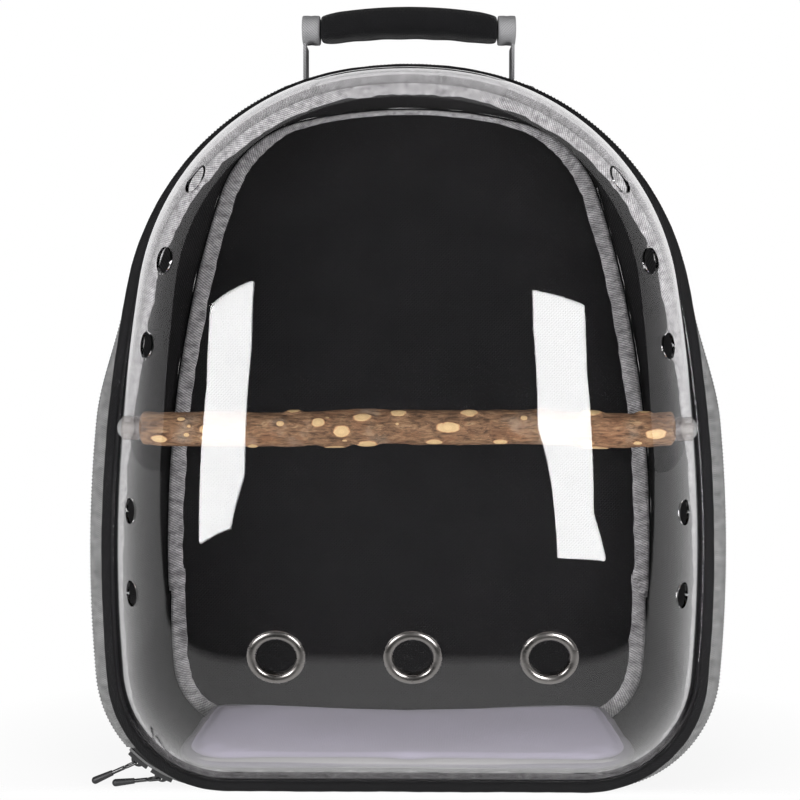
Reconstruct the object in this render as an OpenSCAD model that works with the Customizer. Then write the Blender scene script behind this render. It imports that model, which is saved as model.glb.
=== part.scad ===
// Soft-sided bird carrier, worn as a backpack, with a clear dome for a door.
// X runs to the right seen from the front, -Y is the front, +Z is up, and sizes are in millimetres.
// The origin is in the middle of the carrier's flat base, on the floor.
// The door's rim and the zip are laid out in the rim's own plane, which leans back a little, and
// every outline is an arch of four arcs a side: corner, side, shoulder and crown.

/* [Rim] */
// Width of the door's rim at its waist
rim_w = 322; // [312:1:334]
// Height of the rim along its own plane
rim_h = 382; // [372:1:392]
// Height of the rim's widest place
rim_waist = 124; // [112:1:136]
// Radius of the rim's bottom corners
rim_corner_r = 64; // [56:1:70]
// Radius of the rim's side arcs
rim_side_r = 740; // [660:10:840]
// Radius of the rim's shoulders
rim_shoulder_r = 141; // [132:1:147]
// Radius of the rim's crown
rim_crown_r = 215; // [195:5:245]
// Lean of the rim back from upright, in degrees
rim_lean = 1.6; // [0:0.1:3]
// Width of the edge binding, seen from the front
band_w = 5.5; // [4.5:0.5:7]
// Thickness of the edge binding, front to back
band_t = 8; // [7:0.5:10]
// Height of the rim's lowest line above the floor
rim_lift = 2; // [1.8:0.1:3]

/* [Dome] */
// Depth of the dome in front of the rim
dome_depth = 104; // [95:1:115]
// Thickness of the dome's clear sheet
dome_wall = 1.6; // [1.2:0.1:2.2]
// Squareness of the dome in section, where 2 is an ellipse
dome_square = 3.5; // [3:0.1:4.5]
// Share by which the dome's walls draw in over its depth
dome_draft = 0.14; // [0.1:0.01:0.2]
// Share of that draft which is left at the crown
crown_draft = 0.2; // [0.1:0.05:0.6]
// Height above the rim's foot from which the walls stand straighter
draft_from = 170; // [150:5:200]
// Height above the rim's foot towards which the walls close
dome_focus = 290; // [265:5:305]
// Diameter of the air holes in the dome's sides
air_hole_d = 13; // [8:0.5:15]
// Distance between neighbouring air holes
air_pitch = 41; // [36:1:43]
// Share of the dome's depth at which the air holes below the perch lie
air_share_low = 0.56; // [0.5:0.01:0.6]
// Share of the dome's depth at which the topmost air holes lie
air_share_top = 0.71; // [0.62:0.01:0.74]
// Share of the dome's depth at which the perch lies
side_hole_share = 0.52; // [0.44:0.01:0.58]

/* [Eyelets] */
// Outer diameter of an eyelet's flange
eyelet_d = 28.4; // [24:0.2:30]
// Clear diameter through an eyelet
eyelet_bore = 19.4; // [15:0.2:20]
// Distance between neighbouring eyelets
eyelet_pitch = 65.5; // [58:0.5:70]
// Height of the eyelets above the rim's foot
eyelet_z = 85.5; // [80:0.5:92]
// Shift of the eyelet row to the right
eyelet_shift = 3; // [0:0.5:4]

/* [Perch] */
// Diameter of the branch
perch_d = 17.5; // [14:0.5:20]
// Height of the branch above the rim's foot
perch_z = 194; // [184:1:204]
// Diameter of the perch screws
perch_screw_d = 5; // [4:0.5:6]
// Diameter of the perch's seat washers
perch_seat_d = 12; // [11:0.5:15]

/* [Zip] */
// Distance by which the zip stands out beyond the rim's sides
zip_out = 7; // [5:0.5:9]
// Distance by which the zip stands out beyond the rim's crown
zip_top = 0.8; // [0:0.1:2]
// Distance of the zip's middle behind the rim's plane
zip_back = 14.3; // [13.5:0.1:16]
// Width of one row of teeth
row_w = 2.2; // [1.6:0.1:2.6]
// Thickness of the teeth
row_t = 3; // [2.4:0.1:3.4]
// Gap between the two rows of teeth
row_gap = 1.2; // [1:0.1:1.6]
// Thickness of the zip's tape
tape_t = 1.2; // [0.8:0.1:1.4]
// Length of a zip slider
slider_l = 12; // [10:0.5:13]
// Length of a zip pull
pull_l = 26; // [20:1:28]

/* [Bag] */
// Distance of the rim's foot in front of the origin
rim_y = 77; // [72:1:82]
// Distance of the back lining behind the origin
back_y = 50; // [46:1:56]
// Width of the back's outline
back_w = 298; // [290:1:306]
// Height of the back's outline
back_h = 380; // [374:1:386]
// Height of the back's widest place
back_waist = 114; // [104:1:124]
// Radius of the back's bottom corners
back_corner_r = 48; // [42:1:56]
// Radius of the back's side arcs
back_side_r = 720; // [660:10:800]
// Radius of the back's shoulders
back_shoulder_r = 66; // [56:1:78]
// Radius of the back's crown
back_crown_r = 308; // [290:2:330]
// Thickness of the padded side wall
gusset_t = 3; // [2.5:0.1:3.5]
// Swell of the side wall between the zip and the back
gusset_swell = 2.5; // [0:0.5:4]
// Thickness of the back's stiffener
back_board_t = 3; // [2:0.5:4]
// Thickness of the back's cloth
cloth_t = 1; // [0.8:0.1:1.4]
// Width of the bindings inside the bag
inner_tape_w = 10; // [7:0.5:12]

/* [Floor] */
// Thickness of the base board
base_board_t = 4; // [3:0.5:5]
// Distance of the floor mat's sides inside the rim's widest place
mat_side = 37; // [35:1:47]
// Share by which the mat is wider in front than at the back
mat_taper = 0.1; // [0:0.01:0.12]
// Depth of the floor mat, front to back
mat_depth = 112; // [100:1:114]
// Thickness of the floor mat
mat_t = 13.5; // [8:0.5:16]

/* [Handle] */
// Length of the handle's cloth grip
grip_l = 98; // [85:1:105]
// Height of the grip's section
grip_h = 16.5; // [14:0.5:20]
// Width of the grip's section, front to back
grip_w = 27; // [24:0.5:32]
// Rise of the grip's middle above its ends
grip_rise = 4.5; // [0:0.1:6]
// Length of the wrap on each end of the grip
wrap_l = 10; // [8:0.5:12]
// Length of a handle leg between its pivots
leg_l = 18.5; // [16:0.5:30]
// Distance of the handle behind the origin
handle_y = -4; // [-12:1:4]
// Width of the handle's webbing
web_w = 25; // [20:1:30]
// Thickness of the webbing
web_t = 1.8; // [1.4:0.1:2.4]

/* [Harness] */
// Width of the back pad
pad_w = 222; // [190:2:236]
// Height of the back pad
pad_h = 288; // [250:2:300]
// Height of the back pad's lower edge
pad_z = 42; // [34:1:50]
// Thickness of the back pad at its crown
pad_t = 11; // [8:0.5:14]
// Width of a shoulder strap
strap_w = 54; // [46:1:60]
// Thickness of a shoulder strap
strap_t = 9; // [7:0.5:11]
// Distance of a strap's top from the middle
strap_x = 44; // [38:1:52]
// Width of the strap's adjusting webbing
tail_w = 25; // [20:1:28]

/* [Hidden] */
$fn = 48;

// Named clearances
seat = 0.3;          // between pieces that rest on each other
run = 0.4;           // between pieces that slide on each other
thin = 0.01;
// Steps along the arcs of an arch: corner, side, shoulder, crown
arc_steps = [12, 5, 7, 5];

// Stations along one arc: centre, radius and the angle of the outward normal
function stations(c, r, from, to, steps) =
    [for (i = [0:steps - 1]) [c.x, c.y, r, from + (to - from)*i/steps]];

// Distance from the middle to the centre of an arch's bottom corner
function foot(w, waist, rc, rs) = w/2 - rs + sqrt(pow(rs - rc, 2) - pow(waist - rc, 2));

// Right half of an arch, from the foot to the crown
function half_arch(w, h, waist, rc, rs, rh, rt) =
    let (side = [w/2 - rs, waist],
         corner = [foot(w, waist, rc, rs), rc],
         crown = [0, h - rt],
         span = norm(crown - side),
         near = rs - rh,
         far = rt - rh,
         along = (near*near - far*far + span*span)/(2*span),
         across = sqrt(near*near - along*along),
         way = (crown - side)/span,
         shoulder = side + along*way + across*[-way.y, way.x],
         a1 = atan2(rc - waist, corner.x - side.x),
         a2 = atan2(shoulder.y - side.y, shoulder.x - side.x),
         a3 = atan2(shoulder.y - crown.y, shoulder.x - crown.x))
    concat(stations(corner, rc, -90, a1, arc_steps[0]),
           stations(side, rs, a1, a2, arc_steps[1]),
           stations(shoulder, rh, a2, a3, arc_steps[2]),
           stations(crown, rt, a3, 90, arc_steps[3]));

function mirrored(s) = [-s[0], s[1], s[2], 180 - s[3]];

// Whole arch, from the right foot over the crown to the left foot
function arch(w, h, waist, rc, rs, rh, rt) =
    let (right = half_arch(w, h, waist, rc, rs, rh, rt), n = len(right))
    concat(right, [[0, h - rt, rt, 90]], [for (i = [n - 1:-1:0]) mirrored(right[i])]);

// Point at a station: d behind the outline's plane and r outside the outline
function spot(s, d, r) = [s[0] + (s[2] + r)*cos(s[3]), d, s[1] + (s[2] + r)*sin(s[3])];
function flat(s, r) = [s[0] + (s[2] + r)*cos(s[3]), s[1] + (s[2] + r)*sin(s[3])];

// A point of the rim's leaning frame in the carrier's frame
function leaned(p) = [p.x, p.y*cos(rim_lean) + p.z*sin(rim_lean) - rim_y,
                      p.z*cos(rim_lean) - p.y*sin(rim_lean) + rim_lift];
module in_rim() translate([0, -rim_y, rim_lift]) rotate([-rim_lean, 0, 0]) children();

function ease(x) = let (c = min(max(x, 0), 1)) c*c*(3 - 2*c);
function mix(a, b, u) = a + (b - a)*u;

rim = arch(rim_w, rim_h, rim_waist, rim_corner_r, rim_side_r, rim_shoulder_r, rim_crown_r);
zip = arch(rim_w + 2*zip_out, rim_h + zip_top, rim_waist, rim_corner_r, rim_side_r,
           rim_shoulder_r, rim_crown_r);
back = arch(back_w, back_h, back_waist, back_corner_r, back_side_r, back_shoulder_r, back_crown_r);
rim_foot = foot(rim_w, rim_waist, rim_corner_r, rim_side_r);
zip_foot = foot(rim_w + 2*zip_out, rim_waist, rim_corner_r, rim_side_r);

// Skin over rings of points; the rings are closed, and looped joins the last ring to the first
module skin(rings, looped = false, flip = false) {
    n = len(rings[0]);
    m = len(rings);
    sides = [for (k = [0:m - (looped ? 1 : 2)], i = [0:n - 1])
        let (a = k*n + i, b = k*n + (i + 1)%n, c = ((k + 1)%m)*n + (i + 1)%n, d = ((k + 1)%m)*n + i)
        each [[a, b, c], [a, c, d]]];
    ends = looped ? [] : [[for (i = [n - 1:-1:0]) i], [for (i = [0:n - 1]) (m - 1)*n + i]];
    faces = concat(sides, ends);
    polyhedron([for (r = rings) each r],
               flip ? [for (f = faces) [for (i = [len(f) - 1:-1:0]) f[i]]] : faces, convexity = 8);
}

// Skin over rings that closes to a tip before the first ring and one beyond the last
module tipped(rings, tip_first, tip_last, flip = false) {
    n = len(rings[0]);
    m = len(rings);
    sides = [for (k = [0:m - 2], i = [0:n - 1])
        let (a = k*n + i, b = k*n + (i + 1)%n, c = (k + 1)*n + (i + 1)%n, d = (k + 1)*n + i)
        each [[a, b, c], [a, c, d]]];
    first = [for (i = [0:n - 1]) [m*n, (i + 1)%n, i]];
    last = [for (i = [0:n - 1]) [m*n + 1, (m - 1)*n + i, (m - 1)*n + (i + 1)%n]];
    faces = concat(sides, first, last);
    polyhedron(concat([for (r = rings) each r], [tip_first, tip_last]),
               flip ? [for (f = faces) [f.z, f.y, f.x]] : faces, convexity = 8);
}

// ---- Dome ----

flange_t = dome_wall;
flange_reach = 1.2;                       // cloth left outside the flange in the binding
wall_at = -band_w - seat;                 // outside of the dome's wall at the rim
dome_rings = 11;

function dome_s(a) = pow(cos(a), 2/dome_square);
function dome_t(a) = pow(sin(a), 2/dome_square);
// Draft at a height of the outline: the walls stand straighter towards the crown
function draft_at(z) = dome_draft*mix(1, crown_draft, ease((z - draft_from)/(rim_h - draft_from)));
// A point of the outline drawn in to a share s at a share t of the depth: X and height
function drawn(p, s, t) = let (k = s*(1 - draft_at(p.y)*t)) [p.x*k, dome_focus + (p.y - dome_focus)*k];
function dome_point(s, r, a, depth) =
    let (p = drawn(flat(s, r), dome_s(a), dome_t(a)*depth/dome_depth)) [p.x, -depth*dome_t(a), p.y];
function dome_ring(r, a, depth) = [for (s = rim) dome_point(s, r, a, depth)];
function ring_angle(k) = 90*k/dome_rings;

// A point of the outline as it lies at a share t of the depth, read between the dome's own rings
ring_s = [for (k = [0:dome_rings]) dome_s(ring_angle(k))];
ring_t = [for (k = [0:dome_rings]) dome_t(ring_angle(k))];
function at_share(p, t) = let (i = max([for (k = [0:dome_rings - 1]) if (ring_t[k] <= t) k]))
    mix(drawn(p, ring_s[i], ring_t[i]), drawn(p, ring_s[i + 1], ring_t[i + 1]),
        (t - ring_t[i])/(ring_t[i + 1] - ring_t[i]));
// Outside of the dome's side wall at height z and depth share t
function wall_x(z, t) =
    let (p = [for (s = rim) if (s[3] <= 90) at_share(flat(s, wall_at), t)],
         i = max([for (k = [0:len(p) - 2]) if (p[k].y <= z) k]))
    mix(p[i].x, p[i + 1].x, (z - p[i].y)/(p[i + 1].y - p[i].y));
// Depth share at which the dome's lower face has risen to height z in the middle
function face_t(z, lo = 0.5, hi = 0.999, n = 24) =
    let (t = (lo + hi)/2)
    n == 0 ? t : (at_share([0, -wall_at], t).y < z) ? face_t(z, t, hi, n - 1) : face_t(z, lo, t, n - 1);

perch_y = -side_hole_share*dome_depth;
// Slope of the side wall seen from above, and that of its place at the perch seen from the front
function turn_at(z, t) = atan2(wall_x(z, t - 0.02) - wall_x(z, t + 0.02), 0.04*dome_depth);
wall_turn = turn_at(perch_z, side_hole_share);
wall_tip = atan2(wall_x(perch_z - 5, side_hole_share) - wall_x(perch_z + 5, side_hole_share), 10);

eyelet_t = face_t(eyelet_z);
eyelet_slope = atan2((face_t(eyelet_z + 8) - face_t(eyelet_z - 8))*dome_depth, 16);
eyelet_x = [-eyelet_pitch, 0, eyelet_pitch];
eyelet_pad_r = eyelet_d/2 + 1.2;
eyelet_barrel_r = eyelet_bore/2 + 0.9;

// Places children on the dome's lower face, their Z out of the dome
module at_eyelet(x) in_rim() translate([x + eyelet_shift, -eyelet_t*dome_depth, eyelet_z])
    rotate([90 + eyelet_slope, 0, 0]) children();

// Places children on the side wall at a share of the dome's depth, their X out of the dome
module on_side(right, z, t = side_hole_share) in_rim() mirror([right ? 0 : 1, 0, 0])
    translate([wall_x(z, t), -t*dome_depth, z]) children();

air_rows = [-2, -1, 1, 2, 3];
air_hole_zs = [for (i = air_rows) perch_z + i*air_pitch - (i == 3 ? 2 : 0)];
function air_share(z) = mix(air_share_low, air_share_top, ease((z - perch_z)/(2*air_pitch)));

module dome_shell() {
    inner = [for (k = [dome_rings - 1:-1:1])
        dome_ring(wall_at - dome_wall, ring_angle(k), dome_depth - dome_wall)];
    outer = [for (k = [1:dome_rings - 1]) dome_ring(wall_at, ring_angle(k), dome_depth)];
    edge = [[for (s = rim) spot(s, flange_t/2, wall_at - dome_wall)],
            [for (s = rim) spot(s, flange_t/2, -flange_reach - seat)],
            [for (s = rim) spot(s, -flange_t/2, -flange_reach - seat)],
            [for (s = rim) spot(s, -flange_t/2, wall_at)]];
    color("aliceblue", 0.35)
    difference() {
        union() {
            difference() {
                in_rim() tipped(concat(inner, edge, outer), [0, dome_wall - dome_depth, dome_focus],
                                [0, -dome_depth, dome_focus], flip = true);
                for (x = eyelet_x) at_eyelet(x)
                    cylinder(r = eyelet_pad_r - 1.2, h = 8, center = true);
            }
            for (x = eyelet_x) at_eyelet(x) translate([0, 0, -dome_wall])
                cylinder(r = eyelet_pad_r, h = dome_wall);
        }
        for (x = eyelet_x) at_eyelet(x)
            cylinder(r = eyelet_barrel_r + 0.15, h = 20, center = true);
        for (right = [true, false]) {
            for (z = air_hole_zs) let (t = air_share(z)) on_side(right, z, t) rotate([0, 90, -turn_at(z, t)])
                cylinder(d = air_hole_d, h = 20, center = true);
            on_side(right, perch_z) rotate([0, 90, 0])
                cylinder(d = perch_screw_d + 2*run, h = 24, center = true);
        }
    }
}

// ---- Rim ----

module rim_binding() {
    slot = flange_t/2 + 0.15;
    f = band_t/2;
    c = 1.6;
    profile = [[-f + c, 0], [f - c, 0], [f, -c], [f, -band_w + 0.8], [f - 0.8, -band_w],
               [slot, -band_w], [slot, -flange_reach], [-slot, -flange_reach], [-slot, -band_w],
               [-f + 0.8, -band_w], [-f, -band_w + 0.8], [-f, -c]];
    color("#141416") in_rim() skin([for (s = rim) [for (p = profile) spot(s, p.x, p.y)]],
                                   looped = true, flip = true);
}

// Gathered tape behind the rim, wide over the crown and narrow at the foot
function lining_w(s) = mix(4, inner_tape_w, ease((spot(s, 0, 0).z - 90)/180));
module rim_lining() {
    d0 = band_t/2 + seat;
    d1 = d0 + cloth_t*1.4;
    color("#9a9a9e") in_rim() skin([for (s = rim) let (r = -band_w + 0.6, w = lining_w(s))
        [spot(s, d0, r), spot(s, d1, r), spot(s, d1 + 0.6, r - w), spot(s, d0 + 0.6, r - w)]],
        looped = true, flip = true);
}

// ---- Eyelets ----

module eyelet(x) color("#5c5a58") at_eyelet(x) rotate_extrude($fn = 64) union() {
    translate([eyelet_bore/2, -dome_wall - 1.6]) square([0.9, dome_wall + 3.2]);
    intersection() {
        translate([(eyelet_bore + eyelet_d)/4, 0]) scale([1, 0.72])
            circle(d = (eyelet_d - eyelet_bore)/2);
        translate([0, seat/2]) square([eyelet_d, 6]);
    }
}
washer_t = 1.1;
module eyelet_washer(x) color("#6a6866") at_eyelet(x)
    translate([0, 0, -dome_wall - seat/2 - washer_t]) difference() {
        cylinder(d = eyelet_d - 2, h = washer_t, $fn = 64);
        translate([0, 0, -1]) cylinder(r = eyelet_barrel_r + 0.15, h = 4, $fn = 64);
    }

// ---- Perch ----

seat_h = 3.8;                              // thickness of a seat washer in its middle
perch_end = wall_x(perch_z, side_hole_share) - dome_wall/cos(wall_turn) - seat_h - 2*seat;
// A branch's knobbly radius, by the place along it and the angle round it
function knob(x, a) = 0.55*sin(x*7.3 + 2*a)*sin(x*2.9 + a) + 0.5*cos(x*4.1 - 3*a)
    + 0.35*sin(x*11.7 + 20);
function branch_r(x, a) = perch_d/2 - 0.4 + knob(x, a);
function branch_y(x) = 0.8*sin(x*1.9 + 30);
function branch_z(x) = 0.9*sin(x*1.4 + 60);
branch_rings = 34;

module perch_branch() {
    xs = [for (k = [0:branch_rings]) mix(-perch_end, perch_end, k/branch_rings)];
    rings = [for (x = xs) [for (i = [0:13]) let (a = i*360/14, fade = ease((perch_end - abs(x))/14),
                                                   r = mix(perch_d/2 - 0.9, branch_r(x, a), fade))
        [x, branch_y(x)*fade + r*cos(a), branch_z(x)*fade + r*sin(a)]]];
    color("#6b4a33") in_rim() translate([0, perch_y, perch_z]) difference() {
        skin(rings, flip = true);
        for (side = [0, 1]) mirror([side, 0, 0]) translate([perch_end - 21, 0, 0]) rotate([0, 90, 0])
            cylinder(d = perch_screw_d + 0.1, h = 30);
    }
}

// Half space outside (or inside) the dome's wall at the perch, moved out by a distance
module outside_wall(out) rotate([0, -wall_tip, -wall_turn]) translate([out, -30, -30])
    cube([60, 60, 60]);
module inside_wall(out) rotate([0, -wall_tip, -wall_turn]) translate([out - 60, -30, -30])
    cube([60, 60, 60]);
// Outer seat's flat face beyond the wall's middle: clear of the slanting wall at its thin edge
outer_face = perch_seat_d/2*tan(wall_turn) + 0.6;
seat_in = 12;                            // reach of a seat's rod inwards, before it is cut
screw_in = 24;                           // reach of a screw inwards from the wall
head_r = 5;                              // radius of a screw's head
head_h = 2.8;                            // height of a screw's head, part of a ball
head_ball_r = 6;

module perch_seats() color("#d8d8d6") for (right = [true, false]) on_side(right, perch_z) difference() {
    rotate([0, 90, 0]) translate([0, 0, -seat_in]) cylinder(d = perch_seat_d, h = seat_in + outer_face);
    rotate([0, 90, 0]) cylinder(d = perch_screw_d + 2*run, h = 4*seat_in, center = true);
    intersection() {
        outside_wall(-dome_wall - 2*seat);
        inside_wall(seat);
    }
    translate([perch_end + seat - wall_x(perch_z, side_hole_share) - seat_in, -perch_seat_d, -perch_seat_d])
        cube([seat_in, 2*perch_seat_d, 2*perch_seat_d]);
}

module perch_screws() color("silver") for (right = [true, false]) on_side(right, perch_z)
    rotate([0, 90, 0]) rotate_extrude($fn = 48) {
        translate([0, -screw_in]) square([perch_screw_d/2, screw_in + outer_face + head_h/2]);
        translate([0, outer_face + 0.15]) intersection() {
            translate([0, head_h - head_ball_r]) circle(r = head_ball_r);
            square([head_r, head_h]);
        }
    }

// ---- Zip ----

front_row = zip_back - row_gap/2 - row_w;      // front edge of the front row
rear_row = zip_back + row_gap/2;               // front edge of the rear row
tape_end = rear_row + row_w + 4.6;             // where the rear tape meets the side wall
right_end = -76;                               // angle of the zip's right end on its corner
left_end = 255;                                // angle of the zip's left end on its corner
upper_at = 230;                                // angle of the upper slider on the corner
lower_at = 243;                                // angle of the lower slider
slider_a = slider_l/rim_corner_r*180/PI;       // angle that a slider takes
closed_from = upper_at - slider_a/2 - 1;       // where the end that stays closed starts

// Pairs of rim and zip stations between two angles of the corners
function seam(from, to) = concat(
    [corner_pair(from)],
    [for (i = [0:len(zip) - 1]) if (zip[i][3] > from + 1 && zip[i][3] < to - 1) [rim[i], zip[i]]],
    [corner_pair(to)]);
function corner_pair(a) = let (side = a < 90 ? 1 : -1)
    [[side*rim_foot, rim_corner_r, rim_corner_r, a], [side*zip_foot, rim_corner_r, rim_corner_r, a]];

function front_tape(p) = [spot(p[0], band_t/2 + seat, -2.8), spot(p[0], band_t/2 + seat, -1.6),
    spot(p[1], front_row - 2.6, tape_t/2), spot(p[1], front_row, tape_t/2),
    spot(p[1], front_row, -tape_t/2), spot(p[1], front_row - 2.2, -tape_t/2)];
function rear_tape(p) = let (d = rear_row + row_w) [spot(p[1], d, -tape_t/2), spot(p[1], d, tape_t/2),
    spot(p[1], tape_end, tape_t/2), spot(p[1], tape_end, -tape_t/2)];
function row(p, d) = let (h = row_t/2, c = 0.6) [spot(p[1], d, -h), spot(p[1], d, h - c),
    spot(p[1], d + c, h), spot(p[1], d + row_w - c, h), spot(p[1], d + row_w, h - c),
    spot(p[1], d + row_w, -h)];

door_seam = seam(right_end + 1, closed_from - 0.6);
bag_seam = seam(right_end, closed_from - 0.6);

module zip_tape_front() color("#b9b9bb") in_rim()
    skin([for (p = door_seam) front_tape(p)], flip = true);
module zip_teeth_front() color("#4a4a4c") in_rim()
    skin([for (p = door_seam) row(p, front_row)], flip = true);
module zip_tape_rear() color("#b9b9bb") in_rim()
    skin([for (p = bag_seam) rear_tape(p)], flip = true);
module zip_teeth_rear() color("#4a4a4c") in_rim()
    skin([for (p = bag_seam) row(p, rear_row)], flip = true);

// Children turned about the axis of the bottom left corner: X is out, -Z is back
module on_corner(a, right = false) in_rim() mirror([right ? 1 : 0, 0, 0])
    translate([-zip_foot, 0, rim_corner_r]) rotate([90, 0, 0]) rotate(a) children();
// Part of a ring about the corner's axis, over an angle; the profile has radius and depth
module corner_sweep(from, to) rotate(from) rotate_extrude(angle = to - from, $fn = 180) children();
module band(r0, r1, d0, d1) polygon([[rim_corner_r + r0, -d0], [rim_corner_r + r1, -d0],
                                     [rim_corner_r + r1, -d1], [rim_corner_r + r0, -d1]]);

module zip_closed_end() color("#8b8b8d") on_corner(0) corner_sweep(closed_from, left_end) {
    band(-tape_t/2, tape_t/2, front_row - 2.4, front_row + thin);
    band(-row_t/2, row_t/2, front_row, front_row + row_w);
    band(-row_t/2, row_t/2, rear_row, rear_row + row_w);
    band(-tape_t/2, tape_t/2, rear_row + row_w - thin, tape_end);
}
// Metal stops clamped over both rows at the zip's two ends
module zip_stops() color("#3c3c3e") for (right = [true, false])
    on_corner(0, right) corner_sweep(left_end + 0.3 + (right ? 1 : 0), left_end + 2.6)
        band(-row_t/2, row_t/2, front_row, rear_row + row_w);

plate_in = row_t/2 + run;                      // from the zip's middle surface to a slider plate
plate_t = 1.2;
slider_half = row_gap/2 + row_w + run + 1;     // half the slider's width
eye_up = plate_in + plate_t + 1.35;            // pull's axis above the zip's middle surface
wire_r = 0.7;

module slider_section() {
    for (s = [-1, 1]) {
        r0 = s > 0 ? plate_in : -plate_in - plate_t;
        band(r0, r0 + plate_t, zip_back - slider_half, zip_back + slider_half);
        for (f = [-1, 1]) {
            d = zip_back + f*(slider_half - 0.5);
            band(s > 0 ? tape_t/2 + run : -plate_in - thin, s > 0 ? plate_in + thin : -tape_t/2 - run,
                 d - 0.5, d + 0.5);
        }
    }
}

// A slider: two plates with guide flanges, the wedge between them and the bridge that holds the pull
module slider(a, nose) color("#1c1c1e") on_corner(a) {
    corner_sweep(-slider_a/2, slider_a/2) slider_section();
    corner_sweep(nose > 0 ? 1.2 : -slider_a/2 + 0.4, nose > 0 ? slider_a/2 - 0.4 : -1.2)
        band(-plate_in - thin, plate_in + thin, zip_back - 0.2, zip_back + 0.2);
    translate([rim_corner_r, 0, -zip_back]) linear_extrude(2.6, center = true) difference() {
        translate([plate_in + plate_t/2, 0]) intersection() {
            translate([-1, -4]) square([6, 8]);
            scale([1, 1.15]) circle(r = 3.4);
        }
        translate([eye_up, 0]) circle(r = wire_r + run);
        translate([eye_up - 1, -wire_r - run]) square([1, 2*(wire_r + run)]);
        translate([plate_in - 3, -5]) square([3 + plate_t/2, 10]);
    }
}
module slider_upper() slider(upper_at, 1);
module slider_lower() slider(lower_at, -1);

pull_upper_way = 204;                          // direction of the upper pull, as it lies
pull_lower_way = 186;                          // direction of the lower pull

// Children at a pull's axis, X along the pull
module at_pull(a, way) on_corner(a) translate([rim_corner_r + eye_up, 0, -zip_back])
    rotate(way - a) children();
loop_l = 7;                                    // length of the wire loop
loop_h = 2.9;                                  // half its width, to the wire's middle

module rod(a, b) translate(a) rotate([0, atan2(norm([b.x - a.x, b.y - a.y]), b.z - a.z),
    atan2(b.y - a.y, b.x - a.x)]) cylinder(r = wire_r, h = norm(b - a), $fn = 20);

module pull(a, way) color("#1c1c1e") at_pull(a, way) {
    corners = [[0, 0, loop_h], [loop_l - 2, 0, loop_h], [loop_l, 0, 1.2], [loop_l, 0, -1.2],
               [loop_l - 2, 0, -loop_h], [0, 0, -loop_h]];
    for (i = [0:5]) {
        rod(corners[i], corners[(i + 1)%6]);
        translate(corners[i]) sphere(r = wire_r, $fn = 20);
    }
    translate([loop_l, 0, 0]) rotate([0, 90, 0]) cylinder(r = 1.1, h = pull_l - loop_l - 9, $fn = 24);
}
// Moulded rubber tip on the pull's rod
module pull_grip(a, way) color("#232325") at_pull(a, way) translate([pull_l - 12, 0, 0])
    rotate([0, 90, 0]) difference() {
        union() {
            cylinder(r1 = 1.5, r2 = 2, h = 10, $fn = 32);
            translate([0, 0, 10]) sphere(r = 2, $fn = 32);
        }
        translate([0, 0, -thin]) cylinder(r = 1.15, h = 3.1, $fn = 24);
    }

// ---- Bag ----

mouth = tape_end + seat;                       // front edge of the side wall behind the rim's plane
board_y = back_y + cloth_t + seat;
panel_y = board_y + back_board_t + seat;
rear_y = panel_y + cloth_t;                    // outside of the back
floor_z = gusset_t + seat;

function floored(p, z) = [p.x, p.y, max(p.z, z)];
// Side wall at station i, a share u of the way back, r outside its middle surface
function wall_point(i, u, r, low) =
    let (a = leaned(spot(zip[i], mouth, r)),
         b = [flat(back[i], r - gusset_t/2).x, rear_y, flat(back[i], r - gusset_t/2).y],
         up = ease((flat(back[i], 0).y - 30)/90),
         out = gusset_swell*sin(180*u)*up)
    floored(mix(a, b, u) + out*[cos(zip[i][3]), 0, sin(zip[i][3])], low);
function wall_ring(u, r, low) = [for (i = [0:len(zip) - 1]) wall_point(i, u, r, low)];
wall_shares = [0, 0.25, 0.5, 0.75, 1];

module gusset() color("#17171a") skin(concat(
    [for (u = wall_shares) wall_ring(u, gusset_t/2, 0)],
    [for (k = [len(wall_shares) - 1:-1:0]) wall_ring(wall_shares[k], -gusset_t/2, gusset_t)]),
    looped = true);

module back_sheet(y, t, inset) translate([0, y + t, 0]) rotate([90, 0, 0]) linear_extrude(t)
    intersection() {
        polygon([for (s = back) flat(s, -gusset_t - inset)]);
        translate([-back_w, floor_z]) square([2*back_w, back_h]);
    }
module back_lining() color("#101012") back_sheet(back_y, cloth_t, seat + 0.4);
module back_board() color("#b98d5a") back_sheet(board_y, back_board_t, 2);
module back_panel() color("#17171a") back_sheet(panel_y, cloth_t, seat);

// Grey tape over the seam between the lining and the side wall
module back_binding() {
    y1 = back_y - seat;
    color("#8e8e92") intersection() {
        skin([for (s = back) let (r = -gusset_t - 2.2, w = inner_tape_w)
            [spot(s, y1 - 2, r), spot(s, y1, r), spot(s, y1, r - w), spot(s, y1 - 1.4, r - w)]],
            looped = true, flip = true);
        translate([-back_w, 0, cover_z + cloth_t + seat]) cube([2*back_w, 2*back_w, back_h]);
    }
}

// ---- Floor ----

board_front = mouth - rim_y + 1;
board_w = 2*(foot(back_w, back_waist, back_corner_r, back_side_r) - 1);
cover_z = floor_z + base_board_t + seat;
mat_z = cover_z + cloth_t + seat;
mat_w = rim_w - 2*mat_side;
mat_front = back_y - 4 - mat_depth;

module base_board() color("#b98d5a") translate([-board_w/2, board_front, floor_z])
    cube([board_w, back_y - seat - board_front, base_board_t]);
module base_cover() color("#1b1b1e") translate([-board_w/2 - 8, mat_front, cover_z])
    cube([board_w + 16, back_y - seat - mat_front, cloth_t]);

mat_front_r = 32;
mat_rear_r = 12;
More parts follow.
